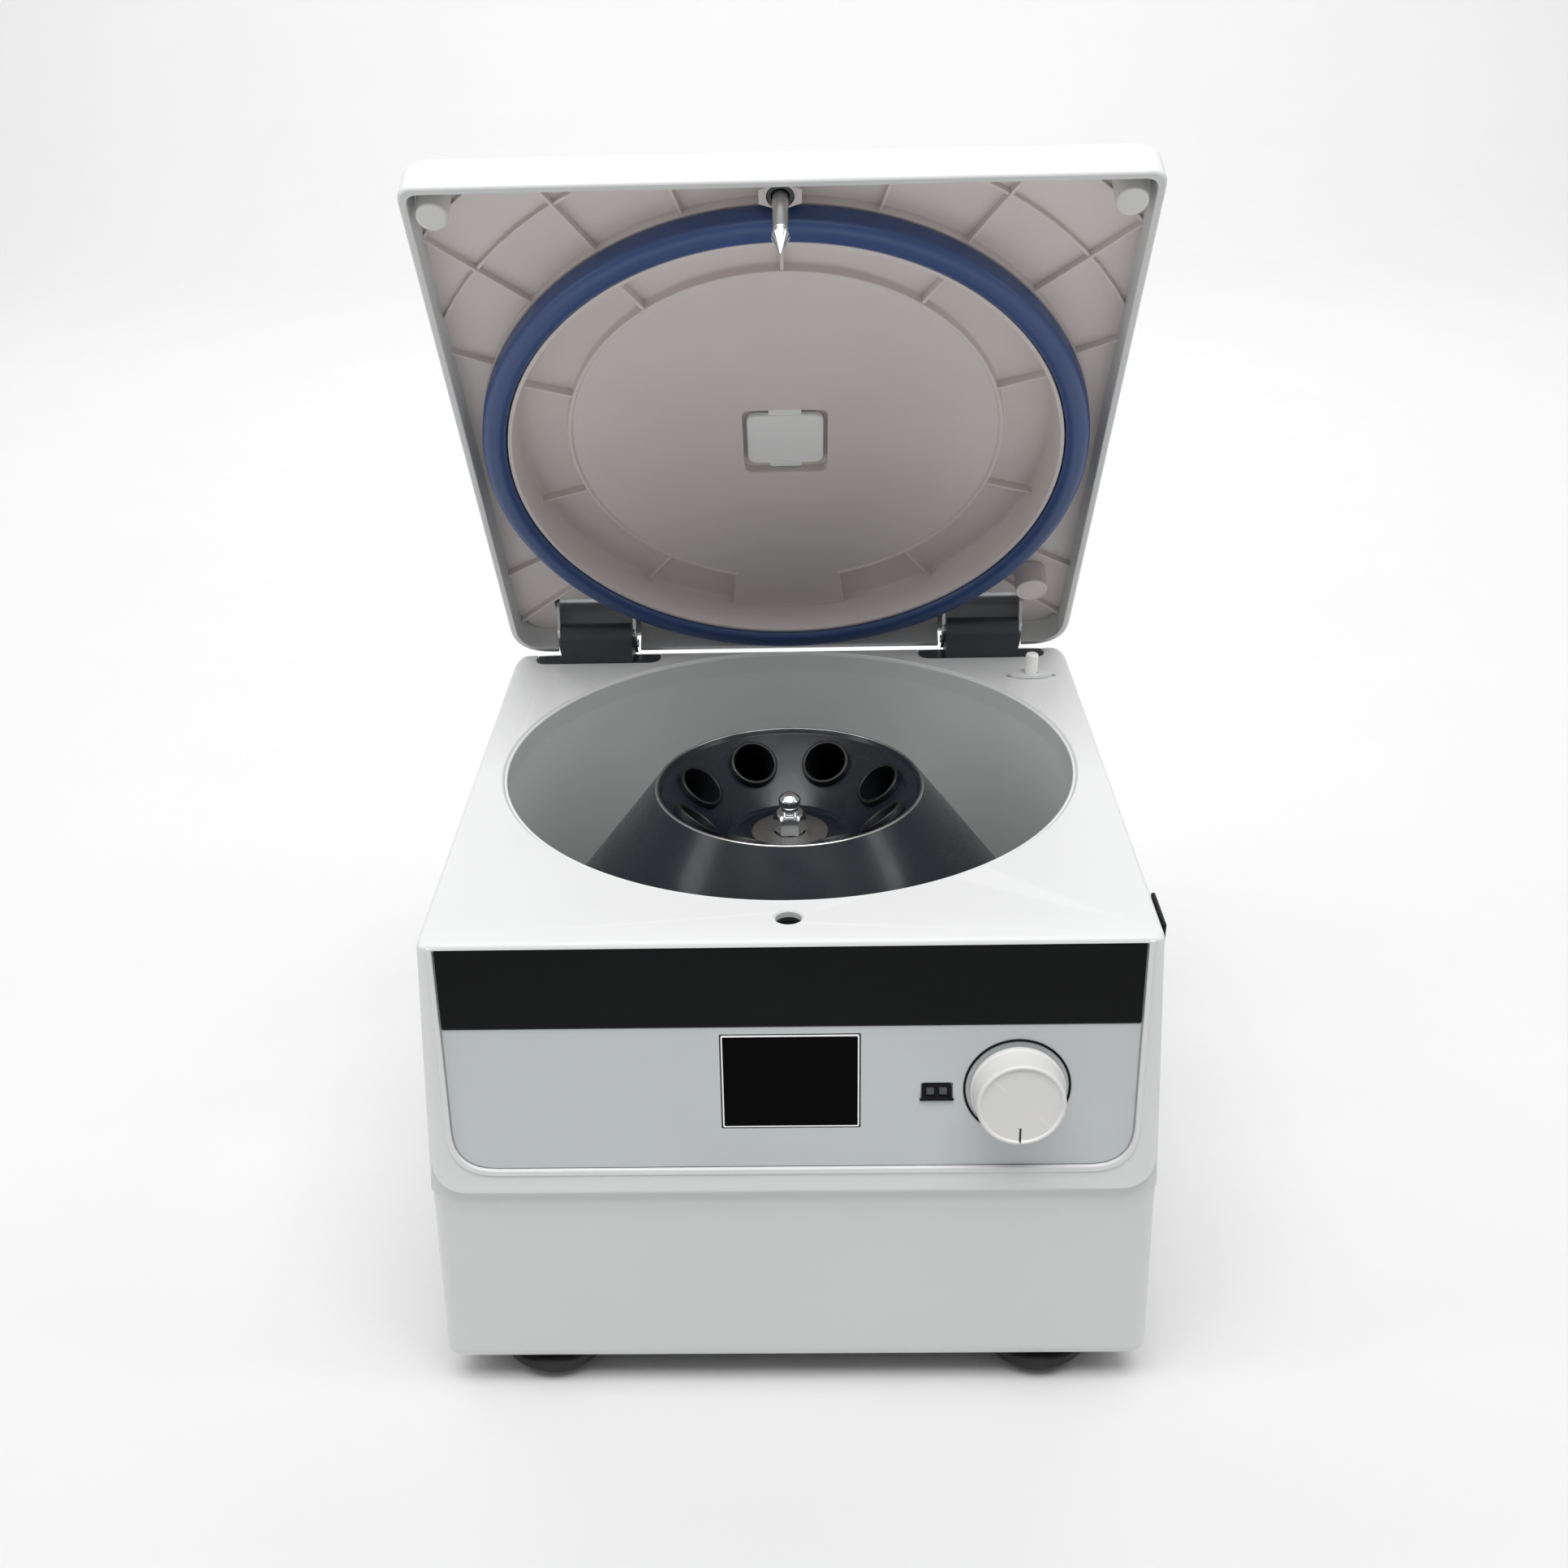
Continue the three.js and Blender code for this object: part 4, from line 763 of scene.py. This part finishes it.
def arc_rib(radius, start, end, low, width=1.3):
    steps = 18
    angles = [math.radians(-(start + (end - start) * i / steps)) for i in range(steps + 1)]
    outer, inner = radius + width / 2, radius - width / 2
    outline = [(outer * math.cos(a), outer * math.sin(a)) for a in angles]
    outline += [(inner * math.cos(a), inner * math.sin(a)) for a in reversed(angles)]
    return ringed(soften(prism("arc", outline, low, FLOOR + 0.7), 0.35, 2, 60))


def make_inner_tray():
    """Deep tray inside the gasket: wall, ribbed trough, raised disc with its lip and a tongue."""
    top = TROUGH + 2
    profile = fillet([(0, DISC_FACE), (DISC_R - 1.7, DISC_FACE, 0.5), (DISC_R - 1.5, DISC_FACE - 0.8, 0.4),
                      (DISC_R, DISC_FACE - 0.8, 0.5), (DISC_R + 0.3, TROUGH, 1.2), (WALL_R - 1, TROUGH, 2.5),
                      (WALL_R, RIM + 0.2, 0.5), (GASKET_IN - 0.3, RIM + 0.2, 0.4), (GASKET_IN - 0.3, top),
                      (0, top)], 0.2)
    tray = ringed(lathe("tray", profile, 144))
    neck, root, high = DISC_R - 12, WALL_R + 0.8, TROUGH + 0.6
    tongue = ringed(prism("tongue", [(-24, neck), (24, neck), (28, root), (-28, root)], DISC_FACE, high))
    notch = [(-23.4, neck), (23.4, neck), (24.5, DISC_R + 3), (-24.5, DISC_R + 3)]
    gap = ringed(prism("tool", notch, 0, DISC_FACE))
    angles = [-90 + 36 * index for index in range(1, 10)]
    ribs = [rib(DISC_R - 0.8, WALL_R + 0.5, DISC_FACE - 0.2, high, angle) for angle in angles]
    return join(cut(tray, gap), soften(tongue, 0.4, 2), *ribs)


def make_frame_ribs():
    """Radial and curved ribs between the gasket and the lid's side walls."""
    levels = [lid_level(RIM, 3.1), lid_level(FLOOR + 2, 3.7)]
    low, high = 8.0, FLOOR + 0.7
    angles = (23.5, 40.5, 57, 73.5, 106.5, 123, 139.5, 156.5, -32, -148, -42, -138)
    ribs = [rib(GASKET_OUT - 1, 230, low, high, angle, 1.2) for angle in angles]
    arcs = ((153, 8, 84, 0.8), (153, 96, 172, 0.8), (176, 32, 60, 1.2), (176, 120, 148, 1.2))
    ribs += [arc_rib(radius, start, end, low + shorter) for radius, start, end, shorter in arcs]
    return [combine(piece, [loft("envelope", levels, 6, 17.5)], "INTERSECT") for piece in ribs]


def make_lid_liner():
    panel = loft("panel", [lid_level(FLOOR, 3.3), lid_level(FLOOR + 2, 3.4)], 6, 17.5)
    panel = cut(panel, ringed(bore(WALL_R + 0.5, 0, 20, 144)))
    ledge = tube_ring(WALL_R + 0.9, GASKET_OUT - 0.2, 7.0, FLOOR + 0.6)
    corners = [math.radians(30 + 60 * i) for i in range(6)]
    hexagon = [(9 * math.cos(a), -LATCH_S + 5.9 * math.sin(a)) for a in corners]
    boss = prism("boss", hexagon, 2.6, FLOOR + 0.6)
    liner = join(panel, ledge, boss, make_inner_tray(), *make_frame_ribs())
    tools = [ringed(prism("tool", rounded(-18.3, 18.3, -19, 19, 4), 0, TROUGH + 0.5)),
             ringed(block(-14, 14, -14, 14, 0, 30)), move(bore(5.15, -5, 30), 0, -LATCH_S)]
    for x, s, r in ((-PAD_X, PAD_S, 6.4), (PAD_X, PAD_S, 6.4), (PLUNGER_X, SENSOR_S, 7.7)):
        tools.append(move(bore(r, -8, FLOOR), x, -s))
    liner = cut(liner, *tools, *hinge_notches(-22, 20))
    put(liner, "lid_inner_liner", LID, LINER, "lid", ["lid_liner"], 30)


def make_gasket():
    """Round-faced silicone ring with a small step where it seats."""
    face = [(GASKET_IN + 0.2, -3.9, 4.2), (GASKET_OUT - 0.2, -3.9, 4.2), (GASKET_OUT, 4.6, 1.2)]
    seat = [(GASKET_OUT - 0.8, 6.6), (GASKET_IN + 0.8, 6.6), (GASKET_IN, 4.6, 1.2)]
    gasket = ringed(lathe("gasket", fillet(face + seat, 0.3, True, 8), 192, True))
    put(gasket, "ring_gasket", LID, BLUE, "lid", ["lid_gasket"], 50)


def make_latch_pin():
    cone = fillet([(0, PIN_TIP), (0.3, PIN_TIP), (3.45, PIN_TIP + 8.4, 1.2), (3.2, PIN_TIP + 10.6, 0.5),
                   (0, PIN_TIP + 10.7)], 0.2, False, 5)
    cone = move(lathe("cone", cone, 48), 0, -LATCH_S)
    put(cone, "latch_pin_tip", LID, CHROME, "lid", ["latch_pin"])
    shaft = fillet([(0, PIN_TIP + 10.4), (2.7, PIN_TIP + 10.4), (2.95, PIN_TIP + 11.2, 0.2), (2.95, 17.8),
                    (0, 17.8)], 0.2)
    put(move(lathe("shaft", shaft, 40), 0, -LATCH_S), "latch_pin_shaft", LID, STEEL, "lid")
    bush = fillet([(3.3, 2.6), (4.85, 2.6), (4.85, 12.8), (3.3, 12.8)], 0.4, True)
    bush = move(lathe("bush", bush, 40, True), 0, -LATCH_S)
    put(bush, "latch_bush", LID, METAL, "lid", ["latch_pin_bush"])


def make_port_cap():
    low = DISC_FACE + 1.05
    face = soften(prism("cap", rounded(-16.5, 16.5, -14.5, 14.5, 4.5), low, TROUGH + 0.2), 0.8, 3)
    tabs = soften(prism("tabs", rounded(-7, 7, -17.3, 17.3, 1), low + 0.7, TROUGH + 0.2), 0.4, 2)
    plug = block(-13.6, 13.6, -13.6, 13.6, TROUGH - 1, LID_TOP - 1.2, "plug")
    put(ringed(join(face, tabs, plug)), "port_cap", LID, CAP, "lid", ["lid_port_cap"], 30)
    slot_bar = block(-6.2, 6.2, 12.6, 13.3, low - 0.35, low + 0.4, "bar")
    put(ringed(soften(slot_bar, 0.15, 2)), "port_cap_bar", LID, CAP, "lid")


def make_pads():
    section = fillet([(0, -2.2), (5.9, -2.2, 1.4), (6.15, 10.6), (0, 10.6)], 0.3, False, 5)
    for side, x in (("left", -PAD_X), ("right", PAD_X)):
        pad = move(lathe("pad", section, 48), x, -PAD_S)
        put(pad, f"corner_pad_{side}", LID, KNOB, "lid", [f"lid_pad_{side}"])
    section = fillet([(0, -0.6), (6.3, -0.6, 0.5), (6.7, -0.95, 0.4), (7.4, -0.6, 0.5), (7.45, 10.6),
                      (0, 10.6)], 0.2, False, 4)
    boss = move(lathe("boss", section, 48), PLUNGER_X, -SENSOR_S)
    put(boss, "sensor_pad", LID, LINER, "lid", ["lid_sensor_boss"])


def dress_hidden_parts():
    """CAD parts inside the casing keep their shape and get their own materials."""
    choices = {"motor_plate": METAL, "motor_body": METAL, "display_module": METAL,
               "control_board": BOARD, "power_board": BOARD,
               "knob_encoder": METAL, "latch_housing": METAL, "latch_hook": STEEL, "motor_shaft": STEEL,
               "motor_damper_1": RUBBER, "motor_damper_2": RUBBER, "motor_damper_3": RUBBER}
    for name, material in choices.items():
        piece = frame["nodes"][name]
        for slot in piece.material_slots:
            slot.material = material
        piece.data.shade_smooth()
        piece.data.set_sharp_from_angle(angle=math.radians(35))


make_camera()
make_stage()
make_housing()
make_base()
make_chamber()
make_rotor()
make_fascia()
make_switch()
make_plunger()
make_rear()
make_hinges()
make_lid_cover()
make_lid_liner()
make_gasket()
make_latch_pin()
make_port_cap()
make_pads()
dress_hidden_parts()
